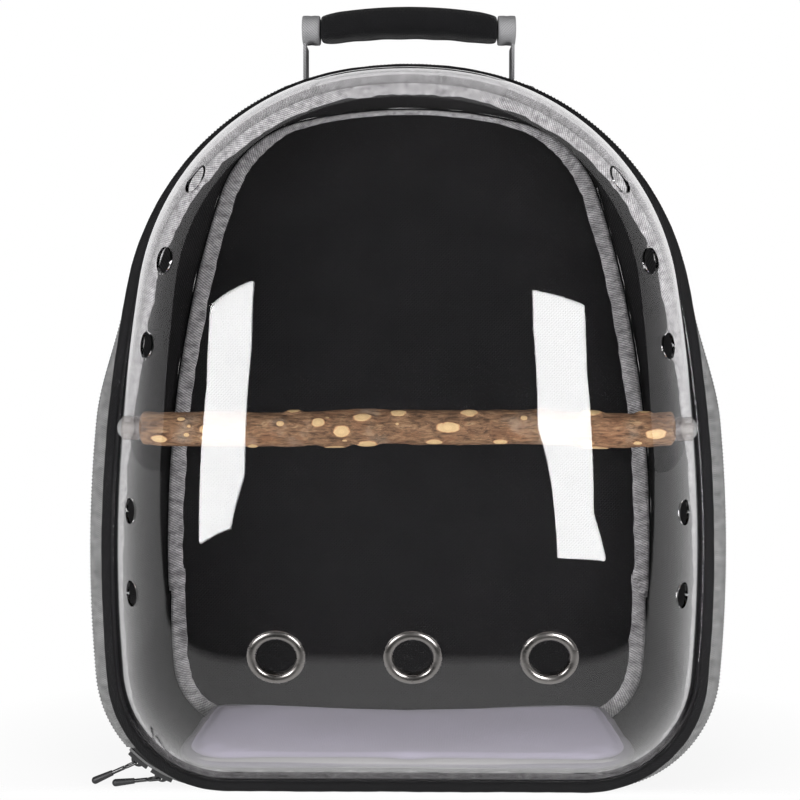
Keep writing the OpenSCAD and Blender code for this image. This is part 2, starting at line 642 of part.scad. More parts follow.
// Outline of the mat, wider and rounder in front, with its sides drawn in by a share
function mat_ring(z, in) =
    [for (q = [0:3], i = [0:8]) let (a = 90*q + 90*i/8, sx = (q == 0 || q == 3) ? 1 : -1, sy = q < 2 ? 1 : -1,
         r = q < 2 ? mat_rear_r : mat_front_r, x = sx*(mat_w/2 - r) + r*cos(a),
         y = sy*(mat_depth/2 - r) + r*sin(a))
        [x*(1 - in)*(1 - mat_taper*y/mat_depth), y*(1 - in*mat_w/mat_depth), z]];
// Quilted mat: drawn-in sides, a soft edge, a seam inside the border and a crown
mat_rows = [[0, 0.012], [0.3, 0], [0.62, 0.002], [0.88, 0.014], [0.98, 0.035], [0.9, 0.058],
            [0.98, 0.08], [1, 0.2], [1, 0.4]];
module floor_mat() color("#a7a3b4") translate([0, mat_front + mat_depth/2, mat_z])
    tipped([for (m = mat_rows) mat_ring(m[0]*mat_t, m[1])],
           [0, 0, 0], [0, 0, mat_t], flip = true);

// Cloth that joins the rim's foot to the base; the door turns about its roll
hinge_d = band_t/2 + seat + 2.2;
hinge_z = 3;
module hinge_strip() {
    w = 2*rim_foot;
    y = hinge_d - rim_y;
    back_edge = leaned([0, mouth, 0]).y - seat;
    color("#141416") rotate([90, 0, 90]) linear_extrude(w, center = true) {
        translate([y, hinge_z]) circle(r = 2.2);
        polygon([[y, hinge_z + 2], [y, hinge_z - 0.4], [y + 6, 0.1], [back_edge, 0], [back_edge, 1.6],
                 [y + 7, 1.8]]);
    }
}

// ---- Handle ----

leg_x = grip_l/2 + wrap_l - web_t;
// Height of the side wall's outside over the crown, at a place X and Y
function crown_at(x, y) =
    let (u = (y + rim_y - mouth)/(rear_y + rim_y - mouth),
         p = [for (i = [0:len(zip) - 1]) if (zip[i][3] <= 90) wall_point(i, u, gusset_t/2, 0)],
         i = max([for (k = [0:len(p) - 2]) if (p[k].x >= x) k]))
    mix(p[i].z, p[i + 1].z, (x - p[i].x)/(p[i + 1].x - p[i].x));
foot_slope = atan2(crown_at(leg_x - 7, handle_y) - crown_at(leg_x + 7, handle_y), 14);
// Height of the pivot between a leg and its foot
handle_z = crown_at(leg_x, handle_y) + 2*seat + web_t/cos(foot_slope) + web_t/2;
grip_z = handle_z + leg_l + seat + grip_h/2 + web_t/2;

module handle_leg(side) color("#8e8e92") translate([side*leg_x, handle_y, handle_z]) {
    translate([-web_t/2, -web_w/2, 0]) cube([web_t, web_w, leg_l]);
    for (z = [0, leg_l]) translate([0, 0, z]) rotate([90, 0, 0])
        cylinder(d = web_t, h = web_w, center = true, $fn = 24);
}
// Sewn webbing feet on the crown, sloping with it
foot_l = 24;
module handle_anchors() color("#8e8e92") for (side = [-1, 1])
    translate([side*leg_x, handle_y, handle_z - web_t/2 - seat]) rotate([0, side*foot_slope, 0])
        translate([-foot_l/2, -web_w/2, -web_t]) cube([foot_l, web_w, web_t]);

function grip_ring(x, k) = [for (i = [0:19]) let (a = 18*i, c = cos(a), s = sin(a))
    [x, k*grip_w/2*sign(c)*pow(abs(c), 0.7),
     k*grip_h/2*sign(s)*pow(abs(s), 0.7) + grip_rise*(1 - pow(2*x/grip_l, 2))]];
module handle_grip() {
    xs = [for (k = [-6:6]) k/6*grip_l/2];
    color("#121214") translate([0, handle_y, grip_z])
        skin([for (x = xs) grip_ring(x, mix(0.9, 1, ease((grip_l/2 - abs(x))/8)))], flip = true);
}
module handle_wraps() color("#8e8e92") for (side = [-1, 1])
    translate([side*(grip_l/2 + wrap_l/2 + 0.1), handle_y, grip_z]) rotate([90, 0, 90])
        linear_extrude(wrap_l - 0.2, center = true) scale([grip_w/grip_h, 1])
            circle(d = grip_h - 0.4, $fn = 40);

// ---- Harness ----

pad_y = rear_y + seat;
pad_cols = 24;
pad_rows = 15;
function pad_swell(u) = pow(1 - pow(abs(u), 4), 0.5);
function channel(u) = 1 - 0.62*exp(-pow((abs(u) - 0.34)/0.055, 2));
function pad_half(v) = pad_w/2*(1 - 0.16*ease((v - 0.72)/0.28) - 0.1*ease((0.45 - v)/0.45))
    - 22*(1 - sqrt(1 - pow(2*v - 1, 8)));
function pad_section(v) = let (h = pad_half(v), k = max(pad_swell(2*v - 1), 0.12), n = pad_cols)
    concat([for (i = [0:n]) let (u = 2*i/n - 1)
               [h*u, pad_y + 1.2 + (pad_t - 1.2)*k*pad_swell(u)*channel(u), pad_z + pad_h*v]],
           [[h, pad_y, pad_z + pad_h*v], [-h, pad_y, pad_z + pad_h*v]]);
module back_pad() color("#222226")
    skin([for (j = [0:pad_rows]) pad_section(0.5 - 0.5*cos(180*j/pad_rows))], flip = false);

// Patch of webbing that holds the straps' tops
yoke_z = pad_z + pad_h + 6;
yoke_h = 16;
yoke_t = 3;
module strap_yoke() color("#141416") translate([-strap_x - strap_w/2, pad_y, yoke_z])
    cube([2*strap_x + strap_w, yoke_t, yoke_h]);

// Middle line of a strap from its top to its end: X, Y and Z, by a share of its length
strap_top = yoke_z + yoke_h/2;
strap_run = 178;
strap_out = 18;                            // bow of a strap away from the pad
function strap_half(u) = strap_t/2*mix(0.5, 1, ease(u/0.1))*mix(0.5, 1, ease((1 - u)/0.1));
function strap_mid(u) = [strap_x + 34*ease(u) - 10*sin(180*u),
    pad_y + yoke_t + seat + strap_half(u) + (pad_t + 1.5)*ease(u/0.2)
        + strap_out*pow(sin(180*pow(u, 0.8)), 1.2),
    strap_top - strap_run*u];
function strap_ring(u, side) =
    let (p = strap_mid(u), q = strap_mid(u + 0.01), way = (q - p)/norm(q - p),
         k = mix(0.72, 1, ease(u/0.15))*mix(0.6, 1, ease((1 - u)/0.14)), t = strap_half(u),
         h = strap_w/2*k, up = [0, -way.z, way.y]/norm([0, way.z, way.y]))
    [for (c = [[-1, -0.5], [-0.88, -1], [0.88, -1], [1, -0.5], [1, 0.5], [0.88, 1], [0, 1.15], [-0.88, 1],
               [-1, 0.5]])
        let (x = p.x + c.x*h, o = c.y*t) [side*x, p.y + o*up.y, p.z + o*up.z]];
module shoulder_strap(side) color("#19191c")
    skin([for (k = [0:14]) strap_ring(k/14.2, side)], flip = side < 0);

strap_end = strap_mid(1);
lock_l = 26;
lock_w = tail_w + 10;
lock_t = 3.6;
tab_t = 3;                                 // thickness of the sewn tabs in the bottom corners
tab_up = 8;                                // reach of a tab above the webbing's end
tab_down = 14;                             // reach of a tab below it
corner_z = 30;
corner_x = foot(back_w, back_waist, back_corner_r, back_side_r) + 20;
// Direction of the adjusting webbing from the strap's end to the lower corner
lock_way = [corner_x - strap_end.x, pad_y + tab_t + 2*seat + web_t + lock_t/2 - strap_end.y,
            corner_z - strap_end.z];
lock_roll = atan2(lock_way.x, -lock_way.z);
lock_pitch = atan2(lock_way.y, norm([lock_way.x, lock_way.z]));
tail_l = norm(lock_way);

// Children at a strap's end: Z runs down the webbing and Y points away from the back
module at_strap_end(side) mirror([side < 0 ? 1 : 0, 0, 0]) translate(strap_end)
    rotate([0, -lock_roll, 0]) rotate([lock_pitch, 0, 0]) rotate([180, 0, 0])
        mirror([0, 1, 0]) children();

module ladder_lock(side) color("#101012") at_strap_end(side) translate([0, 0, 2.4]) rotate([90, 0, 0])
    linear_extrude(lock_t, center = true) difference() {
        translate([-lock_w/2 + 2, 2]) offset(r = 2, $fn = 16) square([lock_w - 4, lock_l - 4]);
        for (z = [4, 12, 19]) translate([-tail_w/2 - 1, z]) square([tail_w + 2, z == 12 ? 4 : 4.5]);
    }
module strap_tail(side) color("#1d1d20") at_strap_end(side)
    translate([-tail_w/2, -lock_t/2 - seat - web_t, 9]) cube([tail_w, web_t, tail_l - 9]);

// Triangular webbing tabs sewn into the bottom corners
module corner_anchors() color("#141416") for (side = [-1, 1]) mirror([side < 0 ? 1 : 0, 0, 0])
    translate([corner_x, pad_y, corner_z]) rotate([0, -lock_roll, 0])
        translate([0, tab_t, 0]) rotate([90, 0, 0]) linear_extrude(tab_t)
            polygon([[-tail_w/2, tab_up], [tail_w/2, tab_up], [0.34*tail_w, -tab_down],
                     [-0.58*tail_w, -tab_down]]);

dome_shell();
rim_binding();
rim_lining();
eyelet(eyelet_x[0]);  // eyelet_left
eyelet(eyelet_x[1]);  // eyelet_centre
eyelet(eyelet_x[2]);  // eyelet_right
eyelet_washer(eyelet_x[0]);  // eyelet_washer_left
eyelet_washer(eyelet_x[1]);  // eyelet_washer_centre
eyelet_washer(eyelet_x[2]);  // eyelet_washer_right
perch_branch();
perch_seats();
perch_screws();
zip_tape_front();
zip_teeth_front();
zip_tape_rear();
zip_teeth_rear();
zip_closed_end();
zip_stops();
slider_upper();
slider_lower();
pull(upper_at, pull_upper_way);  // pull_upper
pull(lower_at, pull_lower_way);  // pull_lower
pull_grip(upper_at, pull_upper_way);  // pull_grip_upper
pull_grip(lower_at, pull_lower_way);  // pull_grip_lower
hinge_strip();
gusset();
back_lining();
back_board();
back_panel();
back_binding();
base_board();
base_cover();
floor_mat();
handle_anchors();
handle_leg(-1);  // handle_leg_left
handle_leg(1);  // handle_leg_right
handle_grip();
handle_wraps();
back_pad();
strap_yoke();
shoulder_strap(-1);  // shoulder_strap_left
shoulder_strap(1);  // shoulder_strap_right
strap_tail(-1);  // strap_tail_left
strap_tail(1);  // strap_tail_right
ladder_lock(-1);  // ladder_lock_left
ladder_lock(1);  // ladder_lock_right
corner_anchors();
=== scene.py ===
"""Looks of a bird carrier worn as a backpack: cloth bag, clear domed door, branch perch, zip, handle and straps."""
import math

import bmesh
import bpy
import numpy as np
from mathutils import Matrix, Vector


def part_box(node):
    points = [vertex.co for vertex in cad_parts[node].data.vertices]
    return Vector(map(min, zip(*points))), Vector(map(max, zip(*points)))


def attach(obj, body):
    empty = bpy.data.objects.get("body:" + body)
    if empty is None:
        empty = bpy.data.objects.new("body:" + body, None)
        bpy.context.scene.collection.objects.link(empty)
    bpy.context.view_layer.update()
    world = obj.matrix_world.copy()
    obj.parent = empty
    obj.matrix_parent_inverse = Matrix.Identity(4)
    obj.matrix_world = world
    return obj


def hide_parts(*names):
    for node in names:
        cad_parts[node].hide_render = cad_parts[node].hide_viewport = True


bl_info = {
    "name": "Bird Carrier",
    "version": (1, 0, 0),
    "blender": (4, 5, 0),
    "location": "View3D > Sidebar > Carrier",
    "description": "Builds the cloth, clear sheet, branch, zip and straps of a bird carrier",
    "category": "Object",
}

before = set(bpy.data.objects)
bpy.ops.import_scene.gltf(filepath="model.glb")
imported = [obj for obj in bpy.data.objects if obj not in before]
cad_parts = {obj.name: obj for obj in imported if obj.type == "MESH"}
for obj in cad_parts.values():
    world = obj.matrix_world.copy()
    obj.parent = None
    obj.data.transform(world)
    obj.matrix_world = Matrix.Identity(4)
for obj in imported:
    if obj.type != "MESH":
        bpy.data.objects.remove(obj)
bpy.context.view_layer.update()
MM = 0.001
TAU = 2 * math.pi
SEED = 11


# ---- Sizes and colours that a user may change ----


def length(name, default, description):
    """A length property in metres, from millimetres."""
    return bpy.props.FloatProperty(name=name, default=default * MM, min=0.0, unit="LENGTH", description=description)


def colour(name, default, description):
    """A colour property, linear."""
    return bpy.props.FloatVectorProperty(
        name=name, default=default, size=3, min=0.0, max=1.0, subtype="COLOR", description=description
    )


class CarrierSizes(bpy.types.PropertyGroup):
    """Sizes of the carrier's main outlines."""

    rim_width: length("Rim width", 322, "Width of the door's rim")
    rim_height: length("Rim height", 382, "Height of the door's rim along its plane")
    dome_depth: length("Dome depth", 104, "Depth of the clear dome in front of the rim")
    back_width: length("Back width", 298, "Width of the back's outline")
    back_height: length("Back height", 380, "Height of the back's outline")
    weave: length("Oxford pitch", 1.05, "Distance between the threads of the black cloth")
    twill: length("Twill pitch", 1.5, "Distance between the ribs of the tapes' twill")
    tooth_pitch: length("Tooth pitch", 2.0, "Distance between the zip's teeth")


class CarrierColours(bpy.types.PropertyGroup):
    """Colours of the carrier's finishes."""

    oxford: colour("Black cloth", (0.0055, 0.0055, 0.0058), "Oxford cloth of the bag")
    binding: colour("Black binding", (0.0055, 0.0055, 0.006), "Twill binding of the rim")
    tape: colour("Grey twill", (0.42, 0.42, 0.42), "Grey twill tapes inside and beside the zip")
    teeth: colour("Zip teeth", (0.035, 0.036, 0.038), "Coil teeth of the zip")
    mat: colour("Mat", (0.43, 0.405, 0.51), "Lavender grey cloth of the mat")
    webbing: colour("Grey webbing", (0.40, 0.40, 0.41), "Webbing and wraps of the handle")
    bark: colour("Bark", (0.185, 0.105, 0.056), "Bark of the branch")
    knot: colour("Cut wood", (0.53, 0.38, 0.19), "Cut faces of the branch's twigs")
    nickel: colour("Dark nickel", (0.30, 0.285, 0.275), "Plating of the eyelets")
    clear: colour("Clear sheet", (0.975, 0.965, 0.975), "Tint of the clear dome")


# ---- Shader graphs ----


class Wire:
    """A shader value; arithmetic on it adds Math nodes to its graph."""

    def __init__(self, graph, socket):
        self.graph, self.socket = graph, socket

    def math(self, operation, *values):
        return self.graph.node("ShaderNodeMath", {"operation": operation}, dict(enumerate(values)))

    def __add__(self, other):
        return self.math("ADD", self, other)

    def __sub__(self, other):
        return self.math("SUBTRACT", self, other)

    def __rsub__(self, other):
        return self.math("SUBTRACT", other, self)

    def __mul__(self, other):
        return self.math("MULTIPLY", self, other)

    def __truediv__(self, other):
        return self.math("DIVIDE", self, other)

    def __pow__(self, other):
        return self.math("POWER", self, other)

    def __abs__(self):
        return self.math("ABSOLUTE", self)

    def __gt__(self, other):
        return self.math("GREATER_THAN", self, other)

    __radd__ = __add__
    __rmul__ = __mul__

    def sin(self):
        return self.math("SINE", self)

    def largest(self, other):
        return self.math("MAXIMUM", self, other)


class Graph:
    """The node graph of one material or of the world."""

    def __init__(self, tree):
        self.tree = tree
        tree.nodes.clear()

    def node(self, kind, settings=None, inputs=None, output=0):
        """One node of a kind: its settings first, then the values or wires of its sockets; gives one output."""
        made = self.tree.nodes.new(kind)
        for key, value in (settings or {}).items():
            setattr(made, key, value)
        for key, value in (inputs or {}).items():
            socket = made.inputs[key]
            if isinstance(value, Wire):
                self.tree.links.new(value.socket, socket)
            elif socket.type == "RGBA" and len(value) == 3:
                socket.default_value = (*value, 1.0)
            else:
                socket.default_value = value
        return Wire(self, made.outputs[output]) if len(made.outputs) else None

    def object_place(self):
        """The place of a point in the carrier's frame, in metres."""
        return self.node("ShaderNodeTexCoord", output=3)

    def weave_place(self):
        """The place of a point along its cloth, in millimetres."""
        return self.node("ShaderNodeUVMap", {"uv_map": "weave"})

    def attribute(self, name):
        """A number that the mesh carries at its points."""
        return self.node("ShaderNodeAttribute", {"attribute_name": name}, output=2)

    def rays(self, *kinds):
        """Wires that are 1 for rays of the named kinds and 0 for others."""
        outs = self.node("ShaderNodeLightPath").socket.node.outputs
        return [Wire(self, outs[f"Is {kind} Ray"]) for kind in kinds]

    def parts(self, vector):
        """The three parts of a vector."""
        first = self.node("ShaderNodeSeparateXYZ", inputs={0: vector})
        return [Wire(self, s) for s in first.socket.node.outputs]

    def scaled(self, vector, scale):
        """A vector with each part scaled."""
        return self.node("ShaderNodeVectorMath", {"operation": "MULTIPLY"}, {0: vector, 1: scale})

    def noise(self, vector, scale, detail=3.0, roughness=0.55, distortion=0.0):
        """Soft noise from 0 to 1 round 0.5."""
        inputs = {"Vector": vector, "Scale": scale, "Detail": detail, "Roughness": roughness, "Distortion": distortion}
        return self.node("ShaderNodeTexNoise", inputs=inputs)

    def mixed(self, a, b, share):
        """Colour a going to colour b by a share."""
        return self.node("ShaderNodeMix", {"data_type": "RGBA"}, {0: share, 6: a, 7: b}, output=2)

    def ranged(self, value, low, high, to_low=0.0, to_high=1.0):
        """A value taken from one range to another and held inside it."""
        return self.node("ShaderNodeMapRange", inputs={0: value, 1: low, 2: high, 3: to_low, 4: to_high})

    def bumped(self, height, distance, strength=1.0, below=None):
        """Normal of a height in metres."""
        inputs = {"Height": height, "Distance": distance, "Strength": strength}
        if below is not None:
            inputs["Normal"] = below
        return self.node("ShaderNodeBump", inputs=inputs)

    def close(self, shader):
        """Joins the last shader to the material's output."""
        self.node("ShaderNodeOutputMaterial", inputs={0: shader})

    def principled(self, **sockets):
        """Principled shader from socket names written with underscores."""
        return self.node("ShaderNodeBsdfPrincipled", inputs={k.replace("_", " "): v for k, v in sockets.items()})

    def skin(self, **sockets):
        """Principled shader, joined to the material's output."""
        self.close(self.principled(**sockets))


BLACK, WHITE = (0.0, 0.0, 0.0), (1.0, 1.0, 1.0)


def tone(shade, factor):
    """A colour made darker or lighter by a factor, up to white."""
    return tuple(min(1.0, c * factor) for c in shade)


def material(name):
    """An empty material and its graph."""
    made = bpy.data.materials.new(name)
    made.use_nodes = True
    return made, Graph(made.node_tree)


def cloth_height(g, u, v, pitch, kind):
    """Height of the threads from 0 to 1.
    plain: crossing half waves, over and under by the sign of sin(u)sin(v); twill: ribs along u + v, cut by
    threads along u - v; ribs: webbing ribs along v with a fine cross thread."""
    k = math.pi / pitch
    if kind == "twill":
        rib = ((u + v) * (2 * k)).sin() * 0.5 + 0.5
        thread = abs(((u - v) * k).sin())
        return rib * 0.75 + thread * 0.25
    if kind == "ribs":
        rib = abs((v * k).sin())
        thread = abs((u * (k * 1.6)).sin())
        return rib * 0.7 + thread * 0.3
    over = (u * k).sin() * (v * k).sin() > 0.0
    warp = abs((v * k).sin())
    weft = abs((u * k).sin())
    return over * warp + (1.0 - over) * weft


def cloth(
    name, shade, pitch, kind="plain", relief=0.22, contrast=0.35, rough=0.85, sheen=0.15, mottle=0.18, fuzz=0.0, patch=28.0
):
    """Woven cloth: threads in the given pitch (mm), mottling in patches (mm), fine fuzz, and a little sheen."""
    made, g = material(name)
    place = g.weave_place()
    u, v, _ = g.parts(place)
    height = cloth_height(g, u, v, pitch, kind)
    slow = g.noise(place, 1 / patch, 3.0)
    fine = g.noise(place, 1.4, 2.0)
    base = g.mixed(tone(shade, 1 - contrast), tone(shade, 1 + contrast), height)
    fibre = g.ranged(fine, 0.2, 0.8, 1 - 0.4 * mottle - fuzz, 1 + fuzz)
    mottled = g.ranged(slow, 0.3, 0.7, 1 - mottle, 1 + mottle) * fibre
    g.skin(
        Base_Color=g.node("ShaderNodeVectorMath", {"operation": "SCALE"}, {0: base, 3: mottled}),
        Roughness=g.ranged(fine, 0.2, 0.8, rough - 0.06, min(1.0, rough + 0.06)),
        Normal=g.bumped(height + fine * 0.35, relief * MM, 0.8),
        Sheen_Weight=sheen,
        Sheen_Roughness=0.4,
        Specular_IOR_Level=0.2,
    )
    return made


def bordered(name, shade, tape):
    """Quilted mat cloth with a grey twill border at the front: the distance inside the outline (mm) parts the two.
    Along the sides the border, and the outer faces all round, are darker copies of the mat's colour: painted shade.
    """
    made, g = material(name)
    place = g.weave_place()
    u, v, _ = g.parts(place)
    inside = g.attribute("border")
    field = g.ranged(inside, 7.3, 7.7)
    plain, twill = cloth_height(g, u, v, 0.9, "plain"), cloth_height(g, u, v, 1.1, "twill")
    fine = g.noise(place, 1.4, 2.0)
    slow = g.noise(place, 0.06, 3.0)
    cloth_tone = g.mixed(tone(shade, 0.90), tone(shade, 1.08), plain * 0.6 + slow * 0.4)
    _, y, _ = g.parts(g.object_place())
    ribbed = twill * 0.6 + fine * 0.4
    # Painted shade: the border along the sides is a darker copy of the mat's colour
    shaded_side_tone = g.mixed(tone(shade, 0.22), tone(shade, 0.40), ribbed)
    front_tone = g.mixed(tone(tape, 0.5), tone(tape, 1.2), ribbed)
    edge_tone = g.mixed(front_tone, shaded_side_tone, g.ranged(y, -0.060, -0.056))
    # Painted shade: the mat's outer faces, all round, are a darker copy of its colour
    shaded_face_tone = g.mixed(tone(shade, 0.26), tone(shade, 0.38), fine)
    edge_tone = g.mixed(shaded_face_tone, edge_tone, g.ranged(inside, 2.6, 3.2))
    height = plain * 0.4 * field + twill * (1.0 - field) + fine * 0.3
    g.skin(
        Base_Color=g.mixed(edge_tone, cloth_tone, field),
        Roughness=g.ranged(fine, 0.2, 0.8, 0.86, 0.97),
        Normal=g.bumped(height, 0.25 * MM, 0.8),
        Sheen_Weight=0.2,
        Specular_IOR_Level=0.3,
    )
    return made


def moulded(name, shade, rough=0.45, grain=0.05, coat=0.0, alpha=1.0):
    """Moulded or lacquered finish: fine grain, with slow changes of gloss."""
    made, g = material(name)
    place = g.object_place()
    fine = g.noise(place, 900.0, 3.0)
    slow = g.noise(place, 40.0, 2.0)
    g.skin(
        Base_Color=g.mixed(tone(shade, 0.85), tone(shade, 1.15), slow),
        Roughness=g.ranged(slow, 0.3, 0.7, rough - 0.07, rough + 0.09),
        Alpha=alpha,
        Coat_Weight=coat,
        Coat_Roughness=0.15,
        Normal=g.bumped(fine, grain * MM, 0.5),
    )
    return made


def plated(name, shade, rough=0.14):
    """Dark nickel plating: metal with faint smears and a slight turn mark."""
    made, g = material(name)
    place = g.object_place()
    smear = g.noise(g.scaled(place, (60.0, 60.0, 220.0)), 1.0, 4.0)
    g.skin(
        Base_Color=g.mixed(tone(shade, 0.8), tone(shade, 1.2), smear),
        Metallic=1.0,
        Roughness=g.ranged(smear, 0.3, 0.7, rough - 0.04, rough + 0.08),
        Normal=g.bumped(smear, 0.02 * MM, 0.3),
    )
    return made


def clear_sheet(name, tint):
    """Clear moulded sheet: refracting, glossy, with the faintest waviness; its shadow lets light through."""
    made, g = material(name)
    place = g.object_place()
    wave = g.noise(place, 9.0, 2.0)
    glass = g.principled(
        Base_Color=tint,
        Roughness=0.012,
        IOR=1.46,
        Transmission_Weight=1.0,
        Normal=g.bumped(wave, 0.5 * MM, 0.12),
    )
    through = g.node("ShaderNodeBsdfTransparent", inputs={0: tone(tint, 0.985)})
    shadow, diffuse = g.rays("Shadow", "Diffuse")
    g.close(g.node("ShaderNodeMixShader", inputs={0: shadow.largest(diffuse), 1: glass, 2: through}))
    return made


def bark_skin(name, bark, knot):
    """Bark with long furrows, grey bloom and reddish patches; cut twigs show pale wood with faint rings. Furrows and
    fibre lines are darker where the bump is low and ridges lighter where it is high: partly the bark's own colour,
    partly painted shade and painted light.
    """
    made, g = material(name)
    place = g.object_place()
    along = g.scaled(place, (130.0, 420.0, 420.0))
    furrow = g.noise(along, 1.0, 6.0, 0.68, 0.8)
    fibre = g.noise(g.scaled(place, (190.0, 950.0, 950.0)), 1.0, 4.0, 0.66)
    bloom = g.noise(place, 38.0, 4.0, 0.6)
    dark = tone(bark, 0.28)
    light = (0.34, 0.235, 0.13)
    grey = (0.30, 0.25, 0.19)
    red = (0.19, 0.088, 0.042)
    # Darker in the furrows, lighter on the ridges that the bump raises: partly bark colour, partly painted shade and
    # painted light
    base = g.mixed(dark, bark, g.ranged(furrow, 0.34, 0.52))
    base = g.mixed(base, light, g.ranged(furrow, 0.52, 0.74, 0.0, 0.85))
    base = g.mixed(base, red, g.ranged(g.noise(place, 70.0, 2.0), 0.52, 0.7, 0.0, 0.45))
    base = g.mixed(base, grey, g.ranged(bloom, 0.54, 0.72, 0.0, 0.6))
    # Fibre lines darkened where the bump is low: partly bark colour, partly painted shade
    base = g.mixed(base, tone(dark, 0.6), g.ranged(fibre, 0.32, 0.50, 0.85, 0.0))
    mask = g.attribute("cut") * (0.2 + g.noise(place, 330.0, 3.0) * 1.6)
    edge = g.ranged(mask, 0.34, 0.52)
    rings = (g.attribute("ring") * 9.0).sin() * 0.5 + 0.5
    wood = g.mixed(tone(knot, 0.80), knot, rings * 0.6 + g.noise(place, 240.0, 3.0) * 0.5)
    stain = g.mixed(wood, (0.36, 0.16, 0.075), g.ranged(mask, 0.5, 0.8, 0.75, 0.0))
    base = g.mixed(base, stain, edge)
    rough = g.mixed((0.86, 0.86, 0.86), (0.68, 0.68, 0.68), edge)
    height = (furrow * 1.0 + fibre * 0.3) * (1.0 - edge * 0.9)
    g.skin(Base_Color=base, Roughness=rough, Normal=g.bumped(height, 0.9 * MM, 0.9), Specular_IOR_Level=0.3)
    return made


def spacer_mesh(name, shade):
    """Knitted spacer mesh: rows of small round holes, set off by half a step in every other row; the holes are painted
    darker, as painted shade inside them.
    """
    made, g = material(name)
    place = g.weave_place()
    inputs = {"Vector": g.scaled(place, (0.42, 0.42, 0.0)), "Scale": 1.0, "Randomness": 0.12}
    hole = g.ranged(g.node("ShaderNodeTexVoronoi", {"feature": "F1"}, inputs), 0.22, 0.42)
    fine = g.noise(place, 1.6, 2.0)
    g.skin(
        # Painted shade: the holes take a quarter of the mesh's colour
        Base_Color=g.mixed(tone(shade, 0.25), tone(shade, 1.3), hole),
        Roughness=g.ranged(fine, 0.2, 0.8, 0.8, 0.95),
        Normal=g.bumped(hole + fine * 0.3, 0.5 * MM, 0.9),
        Sheen_Weight=0.15,
    )
    return made


_finishes = {}


def finish(name):
    """The material of a finish, made once from the user's colours."""
    if name in _finishes:
        return _finishes[name]
    c, s = bpy.context.scene.carrier_colours, bpy.context.scene.carrier_sizes
    weave, twill = s.weave / MM, s.twill / MM
    makers = {
        "oxford": lambda n: cloth(n, tuple(c.oxford), weave, contrast=0.5, sheen=0.02, mottle=0.25),
        "binding": lambda n: cloth(
            n, tuple(c.binding), twill, "twill", relief=0.3, contrast=0.6, sheen=0.02, mottle=0.15
        ),
        "tape": lambda n: cloth(
            n, tuple(c.tape), 1.5, "twill", relief=0.45, contrast=0.5, mottle=0.5, fuzz=0.15, patch=3.6
        ),
        "zip_tape": lambda n: cloth(
            n, tone(c.tape, 0.42), 1.1, "twill", relief=0.25, contrast=0.45, mottle=0.3, patch=4.0
        ),
        "teeth": lambda n: moulded(n, tuple(c.teeth), 0.4, 0.02),
        "lacquer": lambda n: moulded(n, (0.008, 0.008, 0.009), 0.28, 0.02, coat=0.6),
        "grip_rubber": lambda n: moulded(n, (0.012, 0.012, 0.013), 0.5, 0.06),
        "mat": lambda n: bordered(n, tuple(c.mat), tuple(c.tape)),
        "webbing": lambda n: cloth(n, tuple(c.webbing), 1.6, "twill", relief=0.35, contrast=0.3),
        "black_webbing": lambda n: cloth(n, (0.011, 0.011, 0.012), 1.7, "ribs", relief=0.35, contrast=0.5),
        "grip_cloth": lambda n: cloth(n, (0.009, 0.009, 0.010), weave, contrast=0.5, relief=0.25, mottle=0.2),
        "spacer": lambda n: spacer_mesh(n, (0.016, 0.016, 0.018)),
        "board": lambda n: moulded(n, (0.42, 0.30, 0.18), 0.8, 0.1),
        "buckle": lambda n: moulded(n, (0.012, 0.012, 0.013), 0.42, 0.04),
        "seat_rubber": lambda n: moulded(n, (0.28, 0.26, 0.25), 0.5, 0.03, alpha=0.4),
        "screw": lambda n: moulded(n, (0.5, 0.5, 0.5), 0.5, 0.03, alpha=0.35),
        "nickel": lambda n: plated(n, tuple(c.nickel), 0.27),
        "clear": lambda n: clear_sheet(n, tuple(c.clear)),
        "bark": lambda n: bark_skin(n, tuple(c.bark), tuple(c.knot)),
    }
    _finishes[name] = makers[name](name)
    return _finishes[name]


# ---- Outlines ----

# Millimetres from here on. Each arch: height of its widest place, then radius of corner, side, shoulder and crown
RIM_ARCH = (124, 64, 740, 141, 215)
BACK_ARCH = (114, 48, 720, 66, 308)
# The rim leans back; its foot lies in front of the origin and a little above the floor
LEAN = math.radians(1.6)
RIM_Y, RIM_LIFT = 77.0, 2.0
# Binding's width and thickness, the clear sheet's thickness and its place inside the rim's outline
BAND_W, BAND_T, WALL = 5.5, 8.0, 1.6
WALL_AT = -BAND_W - 0.3
# Dome: squareness, draw-in over its depth, the height from which that fades, and the height that it closes towards
SQUARE, DRAFT, DRAFT_FROM, FOCUS = 3.5, 0.14, 170.0, 290.0
# Zip: distance behind the rim, width of a row of teeth and the gap between the rows; how far it stands outside
# the rim at its sides and crown, and how far it draws in over a height above the middle of the sides
ZIP_BACK, ROW_W, ROW_GAP = 14.3, 2.2, 1.2
ZIP_OUT, ZIP_TOP = 7.0, 0.8
DRAW_IN, DRAW_FROM, DRAW_OVER = 6.6, 195, 65
# Side wall's mouth behind the rim and its thickness; depths of the back's lining, panel and pad
MOUTH, GUSSET_T = 22.0, 3.0
BACK_Y, REAR_Y, PAD_Y = 50.0, 55.6, 55.9
# Perch and eyelets: heights above the rim's foot, share of the dome's depth, pitch and shift to the right
PERCH_Z, PERCH_SHARE = 194.0, 0.52
EYELET_Z, EYELET_PITCH, EYELET_SHIFT = 85.5, 65.5, 3.0
# Air holes: distance between neighbours, and share of the dome's depth below the perch and above it
AIR_PITCH, AIR_SHARE, AIR_SHARE_MORE = 41.0, 0.56, 0.15


